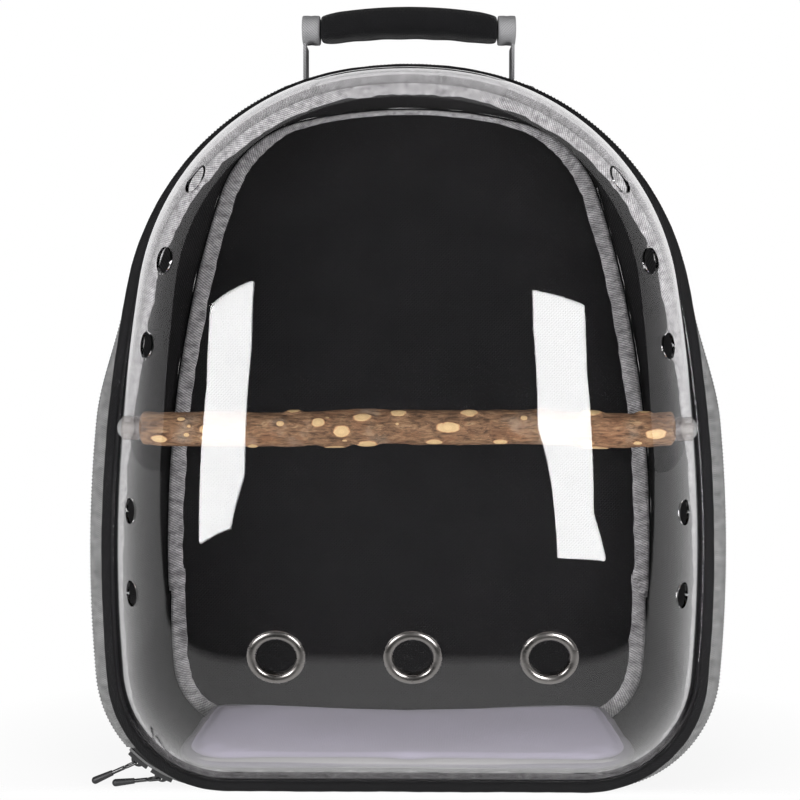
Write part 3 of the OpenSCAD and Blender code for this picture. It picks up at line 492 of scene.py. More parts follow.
def arch(width, height, waist, corner, side, shoulder, crown, steps=(30, 56, 40, 22), floor=46):
    """Closed outline of four arcs a side, as rows [centre x, centre z, radius, angle] from the right foot over
    the crown to the left foot and back along the floor. Each arc's centre lies so that the arcs meet smoothly."""
    sx, sz = width / 2 - side, waist
    foot = sx + math.sqrt((side - corner) ** 2 - (waist - corner) ** 2)
    span = math.hypot(sx, height - crown - sz)
    near, far = side - shoulder, crown - shoulder
    along = (near**2 - far**2 + span**2) / (2 * span)
    across = math.sqrt(near**2 - along**2)
    way = np.array([-sx, height - crown - sz]) / span
    cx, cz = np.array([sx, sz]) + along * way + across * np.array([-way[1], way[0]])
    a1 = math.atan2(corner - waist, foot - sx)
    a2 = math.atan2(cz - sz, cx - sx)
    a3 = math.atan2(cz - (height - crown), cx)
    rows = []
    for (x, z, r), a, b, n in zip(
        ((foot, corner, corner), (sx, sz, side), (cx, cz, shoulder), (0.0, height - crown, crown)),
        (-math.pi / 2, a1, a2, a3),
        (a1, a2, a3, math.pi / 2),
        steps,
    ):
        t = np.linspace(a, b, n, endpoint=False)
        rows.append(np.stack([np.full(n, x), np.full(n, z), np.full(n, r), t], 1))
    half = np.vstack(rows)
    top = np.array([[0.0, height - crown, crown, math.pi / 2]])
    left = half[::-1] * [-1, 1, 1, -1] + [0, 0, 0, math.pi]
    xs = np.linspace(-foot, foot, floor + 2)[1:-1]
    bottom = np.stack([xs, np.full(floor, corner), np.full(floor, corner), np.full(floor, 1.5 * math.pi)], 1)
    return np.vstack([half, top, left, bottom])


def flat(rows, out):
    """Points of an outline, out millimetres outside it, in its own plane."""
    x, z, radius, angle = rows.T
    return np.stack([x + (radius + out) * np.cos(angle), z + (radius + out) * np.sin(angle)], 1)


def spots(rows, depth, out):
    """Points of an outline at a depth behind its plane, out millimetres outside it; depth and out may vary."""
    p = flat(rows, out)
    return np.stack([p[:, 0], np.broadcast_to(depth, p[:, 0].shape), p[:, 1]], 1)


def leaned(p):
    """Points of the rim's leaning frame in the carrier's frame."""
    x, y, z = p[..., 0], p[..., 1], p[..., 2]
    c, s = math.cos(LEAN), math.sin(LEAN)
    return np.stack([x, y * c + z * s - RIM_Y, z * c - y * s + RIM_LIFT], -1)


def sizes():
    return bpy.context.scene.carrier_sizes


def rim_rows():
    """Outline of the door's rim."""
    s = sizes()
    return arch(s.rim_width / MM, s.rim_height / MM, *RIM_ARCH)


def zip_rows():
    """Outline of the zip's chain; from the middle of the sides upwards it draws in behind the rim."""
    s = sizes()
    rows = arch(s.rim_width / MM + 2 * ZIP_OUT, s.rim_height / MM + ZIP_TOP, *RIM_ARCH)
    # Falls to nothing at the crown, where the handle's feet sit
    sideways = np.abs(np.cos(rows[:, 3])) ** 1.5
    rows[:, 2] -= DRAW_IN * sideways * ease((flat(rows, 0)[:, 1] - DRAW_FROM) / DRAW_OVER)
    return rows


def back_rows():
    """Outline of the bag's back."""
    s = sizes()
    return arch(s.back_width / MM, s.back_height / MM, *BACK_ARCH)


def ease(x):
    """Smooth step from 0 to 1."""
    x = np.clip(x, 0.0, 1.0)
    return x * x * (3 - 2 * x)


def wander(t, seed, waves=(1.0, 2.3, 4.1), period=None):
    """Smooth irregular wave of t: a sum of sines with phases from a seed; closed over a period if one is given."""
    rng = np.random.default_rng(SEED + seed)
    total = np.zeros_like(t, float)
    for k in waves:
        f = round(k * period / TAU) / period * TAU if period else k
        total += np.sin(f * t + rng.uniform(0, TAU)) * rng.uniform(0.6, 1.0)
    return total / len(waves)


def run_of(p):
    """Length along a row of points, from its first."""
    return np.concatenate([[0.0], np.cumsum(np.linalg.norm(np.diff(p, axis=0), axis=1))])


def rounded(v, power):
    """A cosine or sine with its sign kept and its size raised to a power: below 1 it squares an oval."""
    return np.sign(v) * np.abs(v) ** power


def capped(p):
    """Rings of points p[i] closed with a ring shrunk to the middle of the first and of the last."""
    tips = [p[[i]].mean(1, keepdims=True) + np.zeros((1, p.shape[1], 3)) for i in (0, -1)]
    return np.concatenate([tips[0], p, tips[1]], 0)


# ---- Meshes ----


def mesh_of(name, verts, faces, uv=None, extra=None):
    """A mesh from arrays: points in millimetres, faces as rows of corners, and the weave's coordinates by corner."""
    made = bpy.data.meshes.new(name)
    made.from_pydata((np.asarray(verts) * MM).tolist(), [], faces.tolist() if hasattr(faces, "tolist") else faces)
    if uv is not None:
        layer = made.uv_layers.new(name="weave")
        layer.data.foreach_set("uv", np.asarray(uv, np.float32).ravel())
    for key, values in (extra or {}).items():
        attribute = made.attributes.new(key, "FLOAT", "POINT")
        attribute.data.foreach_set("value", np.asarray(values, np.float32).ravel())
    return made


def grid(name, p, loop_u=False, loop_v=False, extra=None, merge=False):
    """A surface over points p[u, v], closed in u or v if asked, with the weave's coordinates from its own lengths.
    merge welds rows that have shrunk to a point. The faces point outwards."""
    nu, nv = p.shape[:2]
    index = np.arange(nu * nv).reshape(nu, nv)
    full = p
    if loop_u:
        index, full = np.vstack([index, index[:1]]), np.concatenate([full, full[:1]], 0)
    if loop_v:
        index, full = np.hstack([index, index[:, :1]]), np.concatenate([full, full[:, :1]], 1)
    u = run_of(full[:, full.shape[1] // 2])
    v = run_of(full[full.shape[0] // 2])
    near, far = slice(0, -1), slice(1, None)
    corners = [(near, near), (far, near), (far, far), (near, far)]
    faces = np.stack([index[c].ravel() for c in corners], 1)
    uu, vv = np.meshgrid(u, v, indexing="ij")
    uv = np.stack([np.stack([uu[c].ravel(), vv[c].ravel()], 1) for c in corners], 1)
    made = mesh_of(name, p.reshape(-1, 3), faces, uv, extra)
    work = bmesh.new()
    work.from_mesh(made)
    if merge:
        bmesh.ops.remove_doubles(work, verts=work.verts, dist=1e-6)
    bmesh.ops.recalc_face_normals(work, faces=work.faces)
    work.to_mesh(made)
    work.free()
    return made


def tube(name, p):
    """A surface over rings of points p[i], with its two open ends closed."""
    mesh = grid(name, p, loop_v=True)
    work = bmesh.new()
    work.from_mesh(mesh)
    bmesh.ops.holes_fill(work, edges=[e for e in work.edges if e.is_boundary], sides=0)
    bmesh.ops.recalc_face_normals(work, faces=work.faces)
    work.to_mesh(mesh)
    work.free()
    return mesh


def joined(name, meshes):
    """One mesh from several."""
    work = bmesh.new()
    for mesh in meshes:
        work.from_mesh(mesh)
    made = bpy.data.meshes.new(name)
    work.to_mesh(made)
    work.free()
    return made


def points_of(mesh):
    """The mesh's points as rows, in metres."""
    co = np.zeros(len(mesh.vertices) * 3, np.float32)
    mesh.vertices.foreach_get("co", co)
    return co.reshape(-1, 3)


def smoothed(mesh):
    """Shades every face of a mesh smooth."""
    mesh.polygons.foreach_set("use_smooth", np.ones(len(mesh.polygons), bool))


def piece(name, mesh, finish_name, body, slot, *nodes, angle=None):
    """An object for a mesh, with its finish, body and the nodes that it stands for; the slot is not used."""
    made = bpy.data.objects.new(name, mesh)
    bpy.context.scene.collection.objects.link(made)
    mesh.materials.append(finish(finish_name))
    smoothed(mesh)
    if angle is not None:
        sharpen(mesh, angle)
    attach(made, body)
    if nodes:
        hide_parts(*nodes)
    return made


def sharpen(mesh, angle):
    """Marks edges sharper than an angle in degrees."""
    work = bmesh.new()
    work.from_mesh(mesh)
    limit = math.radians(angle)
    for edge in work.edges:
        if len(edge.link_faces) == 2:
            edge.smooth = edge.calc_face_angle(0.0) < limit
    work.to_mesh(mesh)
    work.free()


def dress(node, finish_name):
    """Gives a CAD node its finish."""
    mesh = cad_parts[node].data
    mesh.materials.clear()
    mesh.materials.append(finish(finish_name))


def baked(obj):
    """A copy of an object's mesh with its modifiers applied, put in its place; the modifiers go."""
    graph = bpy.context.evaluated_depsgraph_get()
    result = bpy.data.meshes.new_from_object(obj.evaluated_get(graph), depsgraph=graph)
    obj.modifiers.clear()
    obj.data = result
    return obj


def box_weave(mesh):
    """Weave coordinates in millimetres from the side that each face looks to."""
    n = len(mesh.loops)
    corner = np.zeros(n, np.int32)
    mesh.loops.foreach_get("vertex_index", corner)
    co = points_of(mesh)[corner] / MM
    normal = np.zeros(len(mesh.polygons) * 3, np.float32)
    mesh.polygons.foreach_get("normal", normal)
    total = np.zeros(len(mesh.polygons), np.int32)
    mesh.polygons.foreach_get("loop_total", total)
    side = np.repeat(np.argmax(abs(normal.reshape(-1, 3)), 1), total)
    pick = np.array([[1, 2], [0, 2], [0, 1]])[side]
    uv = np.take_along_axis(co, pick, 1)
    layer = mesh.uv_layers.get("weave") or mesh.uv_layers.new(name="weave")
    layer.data.foreach_set("uv", uv.astype(np.float32).ravel())


def stuffed(obj, voxel=5.0, pressure=4.0, cap=3.0, frames=20):
    """Padded cloth: remeshed to an even skin, blown up a little by a cloth simulation, and held to a cap in mm."""
    remesh = obj.modifiers.new("even", "REMESH")
    remesh.mode, remesh.voxel_size = "VOXEL", voxel * MM
    baked(obj)
    rest = points_of(obj.data)
    sim = obj.modifiers.new("cloth", "CLOTH")
    sim.settings.use_pressure = True
    sim.settings.uniform_pressure_force = pressure
    sim.settings.effector_weights.gravity = 0.0
    sim.settings.quality = 5
    sim.settings.tension_stiffness = 25
    sim.settings.compression_stiffness = 25
    sim.settings.bending_stiffness = 0.6
    sim.point_cache.frame_start, sim.point_cache.frame_end = 1, frames
    scene = bpy.context.scene
    for f in range(1, frames + 1):
        scene.frame_set(f)
    baked(obj)
    scene.frame_set(1)
    shift = points_of(obj.data) - rest
    far = np.linalg.norm(shift, axis=1, keepdims=True)
    shift *= np.minimum(1.0, cap * MM / np.maximum(far, 1e-9))
    obj.data.vertices.foreach_set("co", (rest + shift).ravel())
    fine = obj.modifiers.new("fine", "SUBSURF")
    fine.levels = fine.render_levels = 1
    baked(obj)
    smoothed(obj.data)


def shifted(mesh, move):
    """Moves a mesh's points by a function of them, in millimetres."""
    p = points_of(mesh) / MM
    mesh.vertices.foreach_set("co", ((p + move(p)) * MM).astype(np.float32).ravel())
    mesh.update()


# ---- Dome ----


def meridian(phi):
    """Share of the outline and of the depth at an angle on a superellipse: (cos, sin) over the n-norm of both."""
    c, s = np.cos(phi), np.sin(phi)
    k = (c**SQUARE + s**SQUARE) ** (1 / SQUARE)
    return c / k, s / k


def draft_at(z):
    """Draw-in of the dome's front against its rim at a height: full low down, a fifth of it at the crown."""
    return DRAFT * (1 - 0.8 * ease((z - DRAFT_FROM) / (sizes().rim_height / MM - DRAFT_FROM)))


def dome_points(rows, out, phi, depth):
    """Points of the dome: the rim's outline shrinks towards the focus as the depth grows, and draws in a little."""
    share, t = meridian(phi)
    p = flat(rows, out)
    k = share[None] * (1 - draft_at(p[:, 1])[:, None] * t[None] * depth / (sizes().dome_depth / MM))
    x = p[:, None, 0] * k
    z = FOCUS + (p[:, None, 1] - FOCUS) * k
    y = np.broadcast_to(-depth * t[None], x.shape)
    return np.stack([x, y, z], -1)


def side_wall(z, share):
    """Half width of the dome at a height and a share of its depth, and its turn towards the front, in degrees."""
    edge = flat(rim_rows(), WALL_AT)
    right = edge[: len(edge) // 2]
    right = right[right[:, 1] < 340]

    def at(t):
        k = (1 - t**SQUARE) ** (1 / SQUARE) * (1 - draft_at(right[:, 1]) * t)
        return float(np.interp(z, FOCUS + (right[:, 1] - FOCUS) * k, right[:, 0] * k))

    depth = sizes().dome_depth / MM
    return at(share), math.degrees(math.atan2(at(share - 0.02) - at(share + 0.02), 0.04 * depth))


def front_share(z):
    """Share of the depth at which the dome's lower face has risen to a height in the middle."""
    t = np.linspace(0.5, 0.999, 2000)
    k = (1 - t**SQUARE) ** (1 / SQUARE) * (1 - DRAFT * t)
    return float(np.interp(z, FOCUS * (1 - k) - k * WALL_AT, t))


def eyelet_frame(x):
    """Matrix in millimetres of an eyelet: its Z points out of the dome's lower face."""
    depth = sizes().dome_depth / MM
    slope = math.atan2((front_share(EYELET_Z + 8) - front_share(EYELET_Z - 8)) * depth, 16)
    place = leaned(np.array([x + EYELET_SHIFT, -front_share(EYELET_Z) * depth, EYELET_Z]))
    return Matrix.Translation(place) @ Matrix.Rotation(-LEAN, 4, "X") @ Matrix.Rotation(math.pi / 2 + slope, 4, "X")


def rod(radius, half, matrix, sides=48):
    """A bmesh cylinder along Z of a matrix in millimetres, for cutting."""
    work = bmesh.new()
    bmesh.ops.create_cone(work, cap_ends=True, segments=sides, radius1=radius, radius2=radius, depth=2 * half)
    work.transform(Matrix.Scale(MM, 4) @ matrix)
    made = bpy.data.meshes.new("cutter")
    work.to_mesh(made)
    work.free()
    return made


class CARRIER_OT_dome(bpy.types.Operator):
    """The clear dome: a closed shell 1.6 mm thick with its flange, air holes, eyelet holes and screw holes"""

    bl_idname = "carrier.dome"
    bl_label = "Clear dome"

    def execute(self, context):
        rows = rim_rows()
        depth = sizes().dome_depth / MM
        phi = np.linspace(0, math.pi / 2, 66)
        outer = dome_points(rows, WALL_AT, phi[1:], depth)[:, ::-1]
        inner = dome_points(rows, WALL_AT - WALL, phi[1:], depth - WALL)
        half = WALL / 2
        flange = [(-half, WALL_AT), (-half, -1.5), (half, -1.5), (half, WALL_AT - WALL)]
        flange = np.stack([spots(rows, d, out) for d, out in flange], 1)
        mesh = grid("clear_dome", leaned(np.concatenate([outer, flange, inner], 1)), loop_u=True, merge=True)
        made = piece("clear_dome", mesh, "clear", "door", "clear_sheet", "dome_shell")
        cutters = []
        for side in (1, -1):
            # Air holes: steps of the pitch from the perch, and a shift of the topmost
            for i, z in ((-2, 0), (-1, 0), (1, 0), (2, 0), (3, -2)):
                height = PERCH_Z + i * AIR_PITCH + z
                share = AIR_SHARE + AIR_SHARE_MORE * float(ease((height - PERCH_Z) / (2 * AIR_PITCH)))
                x, turn = side_wall(height, share)
                way = Vector((side * math.cos(math.radians(turn)), -math.sin(math.radians(turn)), 0))
                place = leaned(np.array([side * x, -share * depth, height]))
                turned = way.to_track_quat("Z", "Y").to_matrix().to_4x4()
                cutters.append(rod(6.5, 10, Matrix.Translation(place) @ Matrix.Rotation(-LEAN, 4, "X") @ turned))
            x, _ = side_wall(PERCH_Z, PERCH_SHARE)
            place = leaned(np.array([side * x, -PERCH_SHARE * depth, PERCH_Z]))
            cutters.append(rod(2.9, 12, Matrix.Translation(place) @ Matrix.Rotation(math.pi / 2, 4, "Y"), 32))
        for x in (-EYELET_PITCH, 0, EYELET_PITCH):
            cutters.append(rod(10.75, 10, eyelet_frame(x), 96))
        tool = bpy.data.objects.new("holes", joined("holes", cutters))
        context.scene.collection.objects.link(tool)
        cut = made.modifiers.new("holes", "BOOLEAN")
        cut.operation, cut.object, cut.solver = "DIFFERENCE", tool, "EXACT"
        baked(made)
        bpy.data.objects.remove(tool)
        smoothed(made.data)
        sharpen(made.data, 35)
        return {"FINISHED"}


# ---- Rim ----


def swept(name, rows, profile, finish_name, body, slot, *nodes, angle=None, place=leaned):
    """A closed profile carried round a closed outline; profile gives rows of (depth, out), each a number or array."""
    p = np.stack([spots(rows, d, r) for d, r in profile], 1)
    return piece(name, grid(name, place(p), loop_u=True, loop_v=True), finish_name, body, slot, *nodes, angle=angle)


class CARRIER_OT_rim(bpy.types.Operator):
    """The rim's black twill binding, the gathered grey tape inside it and the cloth hinge at its foot"""

    bl_idname = "carrier.rim"
    bl_label = "Rim"

    def execute(self, context):
        rows = rim_rows()
        s = run_of(spots(rows, 0, 0))
        total = s[-1] + 4
        wave = 0.22 * wander(s, 1, (0.09, 0.21, 0.5), total)
        half = BAND_T / 2
        t = np.linspace(0, TAU, 22, endpoint=False)
        profile = []
        for a in t:
            c, d = math.cos(a), math.sin(a)
            x = half * np.sign(c) * abs(c) ** 0.55
            y = -BAND_W / 2 + BAND_W / 2 * np.sign(d) * abs(d) ** 0.6
            profile.append((x * (1 + 0.03 * wave), y + wave * (0.5 + 0.5 * d)))
        swept("rim_band", rows, profile, "binding", "door", "black_binding", "rim_binding")

        height = spots(rows, 0, 0)[:, 2]
        width = 3.5 + 4.5 * ease((height - 90) / 180)
        gather = 1.7 * wander(s, 2, (0.24, 0.38, 0.8), total)
        slow = wander(s, 3, (0.08, 0.17, 0.3), total)
        d0 = half + 0.45
        top = -BAND_W + 0.4
        edge = top - width * (1 + 0.10 * slow) - 0.35 * gather
        lift = 0.35 * gather + 0.2 * slow
        mid = (top + edge) / 2
        high, low = (top + mid) / 2, (mid + edge) / 2
        profile = [
            (d0, top), (d0 + 0.2, high), (d0 + 0.3 + 0.4 * lift, mid), (d0 + 0.3 + 0.9 * lift, low),
            (d0 + 0.2 + 1.2 * lift, edge + 0.3), (d0 + 0.9 + 1.2 * lift, edge), (d0 + 1.7 + 1.2 * lift, edge + 0.3),
            (d0 + 1.9 + 0.9 * lift, low), (d0 + 1.8 + 0.4 * lift, mid), (d0 + 1.6, high), (d0 + 1.4, top),
        ]
        swept("rim_tape", rows, profile, "tape", "door", "grey_twill", "rim_lining")

        lo, hi = (np.array(v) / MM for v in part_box("hinge_strip"))
        x = np.linspace(lo[0], hi[0], 90)
        # The hinge's section: a roll about the door's axis, then a flat tail to the rear
        roll_y, roll_z, roll_r = -70.5, 3.0, 2.2
        turns = np.linspace(0.15 * math.pi, 1.45 * math.pi, 14)
        ring = [(roll_y + roll_r * math.cos(q), roll_z + roll_r * math.sin(q)) for q in turns]
        half_way = (roll_y + hi[1]) / 2
        ring += [(roll_y + 4, 0.35), (roll_y + 6, 0.1), (half_way, 0.05), (hi[1], 0.05)]
        ring += [(hi[1], 1.6), (half_way, 1.7), (roll_y + 7, 1.8)]
        p = np.stack([np.stack([x, np.full_like(x, y), np.full_like(x, z)], 1) for y, z in ring], 1)
        piece("cloth_hinge", tube("cloth_hinge", p), "binding", "bag", "black_binding", "hinge_strip")
        return {"FINISHED"}


# ---- Eyelets ----


def lathe(name, profile, matrix, sides=96):
    """A closed profile of (radius, height) turned about Z of a matrix in millimetres."""
    a = np.linspace(0, TAU, sides, endpoint=False)
    r, z = np.array(profile).T
    p = np.stack([np.cos(a)[:, None] * r, np.sin(a)[:, None] * r, np.broadcast_to(z, (sides, len(z)))], -1)
    m = np.array(matrix)
    p = p @ m[:3, :3].T + m[:3, 3]
    return grid(name, p, loop_u=True, loop_v=True)


# Sections of an eyelet below its rolled crest and of its washer, as (radius, height)
BARREL = (
    (9.72, -0.4), (9.7, -1.6), (9.75, -2.9), (9.95, -3.2), (10.45, -3.2),
    (10.6, -2.9), (10.6, 0.05), (11.0, 0.16), (13.6, 0.16), (14.1, 0.16),
)
WASHER = (
    (10.75, -1.8), (12.6, -1.75), (13.1, -1.9), (13.2, -2.3),
    (12.9, -2.8), (12.2, -2.95), (10.9, -2.85), (10.75, -2.7),
)


class CARRIER_OT_eyelets(bpy.types.Operator):
    """The three vent eyelets: rolled flanges with a barrel through the dome, and their washers inside"""

    bl_idname = "carrier.eyelets"
    bl_label = "Eyelets"

    def execute(self, context):
        turns = np.linspace(0, math.pi, 15)
        crest = [(11.95 + 2.25 * math.cos(q), 0.18 + 1.72 * math.sin(q) ** 0.85) for q in turns]
        for word, x in (("left", -EYELET_PITCH), ("centre", 0.0), ("right", EYELET_PITCH)):
            spot = eyelet_frame(x)
            mesh = lathe("vent_ring_" + word, [*crest, *BARREL], spot)
            piece("vent_ring_" + word, mesh, "nickel", "door", "dark_nickel", "eyelet_" + word, angle=50)
            mesh = lathe("vent_washer_" + word, WASHER, spot)
            piece("vent_washer_" + word, mesh, "nickel", "door", "dark_nickel", "eyelet_washer_" + word, angle=50)
        return {"FINISHED"}


# ---- Perch ----

# Cut twigs on the branch: place along it, turn round it in degrees (0 faces the front), half length, half width
CUTS = (
    (-127, -28, 4.2, 2.2), (-116, 38, 2.0, 1.1), (-112, 14, 1.0, 0.8), (-113, -14, 1.3, 1.0), (-104, 4, 2.6, 2.2),
    (-104, -24, 2.4, 1.2), (-79.5, -62, 2.6, 2.2), (-65, 20, 1.9, 1.4), (-58.5, 72, 3.8, 2.2), (-45.5, 20, 3.6, 2.6),
    (-41, 38, 0.8, 0.6), (-33.5, -8, 4.4, 3.2), (-37, -78, 6.0, 2.6), (-23, 34, 5.0, 2.4), (-20.5, -58, 5.6, 3.0),
    (-32, -42, 1.2, 0.8), (-4.5, 48, 4.4, 2.4), (-5, 12, 0.9, 0.5), (21, 0, 6.6, 2.9), (32, 48, 4.8, 2.6),
    (14, -50, 4.6, 2.0), (48, -48, 4.0, 2.0), (60, 34, 1.7, 1.5), (90, 30, 2.7, 1.3), (95, 62, 5.4, 3.0),
    (92, -44, 4.2, 1.9), (97, -72, 7.0, 2.2), (122, 78, 3.2, 2.0), (127, -10, 5.6, 2.8), (118, -42, 2.4, 1.2),
    (139, -34, 2.6, 2.4), (0, 160, 4.6, 2.6), (-60, 200, 4.0, 2.4), (62, 148, 5.0, 2.8), (-100, 150, 3.6, 2.2),
    (104, 190, 4.2, 2.6), (28, 226, 4.4, 2.4), (-20, 116, 3.4, 2.2), (-88, 108, 3.0, 2.0), (70, 104, 3.6, 2.2),
)


class CARRIER_OT_perch(bpy.types.Operator):
    """The branch with its furrowed bark and cut twigs, its seats and its screws"""

    bl_idname = "carrier.perch"
    bl_label = "Perch"

    def execute(self, context):
        lo, hi = (np.array(v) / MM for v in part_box("perch_branch"))
        end = hi[0]
        n, sides = 760, 120
        x = np.linspace(-end, end, n)
        a = np.linspace(0, TAU, sides, endpoint=False)
        xx, aa = np.meshgrid(x, a, indexing="ij")
        radius = 8.35 + 0.42 * np.sin(xx / 19 + 2 * aa) * np.sin(xx / 47 + aa) + 0.34 * np.cos(xx / 13 - 3 * aa)
        radius += 0.22 * np.sin(xx / 5.1 + 4 * aa + 1.2 * np.sin(xx / 9)) + 0.12 * np.sin(7 * aa + xx / 31)
        rng = np.random.default_rng(SEED)
        for _ in range(9):
            k, f, ph = rng.integers(6, 22), rng.uniform(0.2, 1.1), rng.uniform(0, TAU)
            radius += 0.045 * np.sin(k * aa + f * xx + ph)
        radius -= 0.3 * ease((np.abs(xx) - end + 30) / 30)
        cut = np.zeros_like(xx)
        ring = np.zeros_like(xx)
        for place, turn, half, wide in CUTS:
            place = place * end / 137.0
            angle = (aa - math.radians(turn) + math.pi) % TAU - math.pi
            bend = 0.10 * np.sin(3.0 * angle * 8 + place)
            d = np.hypot((xx - place) / (0.9 * half + 0.3), angle * 8.4 / (0.8 * wide + 0.2)) + bend * 0.3
            swell = np.exp(-((np.maximum(d - 0.75, 0)) / 0.6) ** 2)
            tall = 0.55 + 0.28 * min(half, 4.5)
            flat_cut = tall * swell - (0.5 * angle * 8.4) ** 2 / 70 * (d < 1.2)
            radius = np.maximum(radius, radius * 0 + 8.2 + flat_cut * 0.9) if half > 1.4 else radius + 0.5 * swell
            inside = np.clip((1.16 - d) / 0.5, 0, 1)
            ring = np.where(inside > cut, d, ring)
            cut = np.maximum(cut, inside)
        chamfer = 1.6 * np.clip((np.abs(xx) - end + 1.6) / 1.6, 0, 1) ** 2
        radius = radius - chamfer
        cy, cz = 0.8 * np.sin(np.radians(xx * 1.9 + 30)), 0.9 * np.sin(np.radians(xx * 1.4 + 60))
        fade = ease((end - np.abs(xx)) / 14)
        depth = PERCH_SHARE * sizes().dome_depth / MM
        p = np.stack([xx, -depth + cy * fade - radius * np.cos(aa), PERCH_Z + cz * fade + radius * np.sin(aa)], -1)
        # Each sawn end: a ring half as wide as the branch, and one shrunk to a point
        cap = [np.broadcast_to([s * end, -depth, PERCH_Z], (1, sides, 3)) for s in (-1, 1)]
        near = []
        for k in (0, -1):
            ring_k, middle = p[[k]], p[[k]].mean(1, keepdims=True)
            near.append(ring_k * [1, 0, 0] + (ring_k - middle) * [0, 0.5, 0.5] + middle * [0, 1, 1])
        p = np.concatenate([cap[0], near[0], p, near[1], cap[1]], 0)

        def pad(q, value):
            return np.pad(q, ((2, 2), (0, 0)), constant_values=value)

        mesh = grid("branch", leaned(p), loop_v=True, merge=True, extra={"cut": pad(cut, 1.0), "ring": pad(ring, 0.5)})
        piece("branch", mesh, "bark", "door", "branch_wood", "perch_branch", angle=60)
        dress("perch_seats", "seat_rubber")
        dress("perch_screws", "screw")
        return {"FINISHED"}


# ---- Zip ----

CLOSED_FROM = math.radians(223.0)
RIGHT_END = math.radians(-76.0)


def seam_path(rows, start, stop, step=1.0):
    """Even points along an outline between two angles, with the way along it and the way out of it."""
    fine = rows[(rows[:, 3] > start) & (rows[:, 3] < stop)]
    first, last = fine[0].copy(), fine[-1].copy()
    first[3], last[3] = start, stop
    fine = np.vstack([first, fine, last])
    p = flat(fine, 0)
    s = run_of(p)
    t = np.arange(0, s[-1], step)
    out = np.stack([np.interp(t, s, np.cos(fine[:, 3])), np.interp(t, s, np.sin(fine[:, 3]))], 1)
    out /= np.linalg.norm(out, axis=1, keepdims=True)
    centre = np.stack([np.interp(t, s, p[:, 0]), np.interp(t, s, p[:, 1])], 1)
    return t, centre, out


def beside(centre, out, depth, r):
    """Points at a depth, r millimetres out from a path."""
    return np.stack([centre[:, 0] + r * out[:, 0], np.full(len(centre), float(depth)), centre[:, 1] + r * out[:, 1]], 1)


def coil(rows, start, stop, depth, pitch, wide=1.0, tall=1.25, wire=0.5):
    """Coil of zip teeth: a flattened helix of wire round the chain's line, five sides to the wire."""
    s, centre, out = seam_path(rows, start, stop, pitch / 10)
    turn = TAU * s / pitch
    c, q = np.cos(turn), np.sin(turn)
    middle = np.stack([centre[:, 0] + tall * c * out[:, 0], depth + wide * q, centre[:, 1] + tall * c * out[:, 1]], 1)
    way = np.gradient(middle, axis=0)
    way /= np.linalg.norm(way, axis=1, keepdims=True)
    radial = np.stack([c * out[:, 0], q, c * out[:, 1]], 1)
    side = np.cross(way, radial)
    side /= np.linalg.norm(side, axis=1, keepdims=True)
    radial = np.cross(side, way)
    a = np.linspace(0, TAU, 5, endpoint=False)
    return middle[:, None] + wire * (np.cos(a)[None, :, None] * radial[:, None] + np.sin(a)[None, :, None] * side[:, None])


class CARRIER_OT_zip(bpy.types.Operator):
    """The zip: twill tapes, coils of teeth on both sides, the closed end, stops, sliders and pulls"""

    bl_idname = "carrier.zip"
    bl_label = "Zip"

    def execute(self, context):
        rows, inner = zip_rows(), rim_rows()
        pitch = sizes().tooth_pitch / MM
        front = ZIP_BACK - ROW_GAP / 2 - ROW_W / 2
        rear = ZIP_BACK + ROW_GAP / 2 + ROW_W / 2
        start = RIGHT_END + math.radians(1)
        for word, depth, body, a in (("front", front, "door", start), ("rear", rear, "bag", RIGHT_END)):
            mesh = tube("zip_coil_" + word, leaned(coil(rows, a, CLOSED_FROM, depth, pitch)))
            piece("zip_coil_" + word, mesh, "teeth", body, "zip_coil", "zip_teeth_" + word)
        # Front tape, from under the binding out to the teeth: depth, distance out, share of the way to the zip
        d0 = BAND_T / 2 + 0.35
        f = front - ROW_W / 2
        pairs = [(d0, -1.7, 0), (d0 + 0.2, 0.0, 0.5), (f - 3.4, 0.1, 1), (f - 2.2, 0.5, 1), (f, 0.5, 1), (f + 1.3, 0.2, 1),
                 (f + 1.3, -0.4, 1), (f, -0.5, 1), (f - 2.0, -0.5, 1), (f - 3.0, -0.8, 1), (d0 + 0.2, -1.4, 0.5), (d0, -2.8, 0)]
        _, ci, oi = seam_path(inner, start, CLOSED_FROM, 2.0)
        _, cz, oz = seam_path(rows, start, CLOSED_FROM, 2.0)
        n = min(len(ci), len(cz))
        k = np.linspace(0, 1, n)
        ci, oi, cz, oz = (
            np.stack([np.interp(k, np.linspace(0, 1, len(q)), q[:, j]) for j in (0, 1)], 1) for q in (ci, oi, cz, oz)
        )
        strip = [beside(ci * (1 - w) + cz * w, oi * (1 - w) + oz * w, d, r) for d, r, w in pairs]
        mesh = tube("zip_tape_door", leaned(np.stack(strip, 1)))
        piece("zip_tape_door", mesh, "zip_tape", "door", "grey_twill", "zip_tape_front")
        # Rear tape, from the teeth to the side wall: depth and distance out
        r0 = rear + ROW_W / 2
        pairs = [(r0 - 1.2, -0.5), (r0 - 1.2, 0.4), (r0 + 1.6, 0.6), (r0 + 3.0, 2.5),
                 (r0 + 4.6, 2.4), (r0 + 4.6, 1.6), (r0 + 3.2, 0.6), (r0, -0.5)]
        _, centre, out = seam_path(rows, RIGHT_END, CLOSED_FROM, 2.0)
        mesh = tube("zip_tape_bag", leaned(np.stack([beside(centre, out, d, r) for d, r in pairs], 1)))
        piece("zip_tape_bag", mesh, "zip_tape", "bag", "grey_twill", "zip_tape_rear")
        dress("zip_closed_end", "zip_tape")
        dress("zip_stops", "lacquer")
        for node in ("slider_upper", "slider_lower", "pull_upper", "pull_lower"):
            dress(node, "lacquer")
        for node in ("pull_grip_upper", "pull_grip_lower"):
            dress(node, "grip_rubber")
        return {"FINISHED"}


# ---- Bag ----


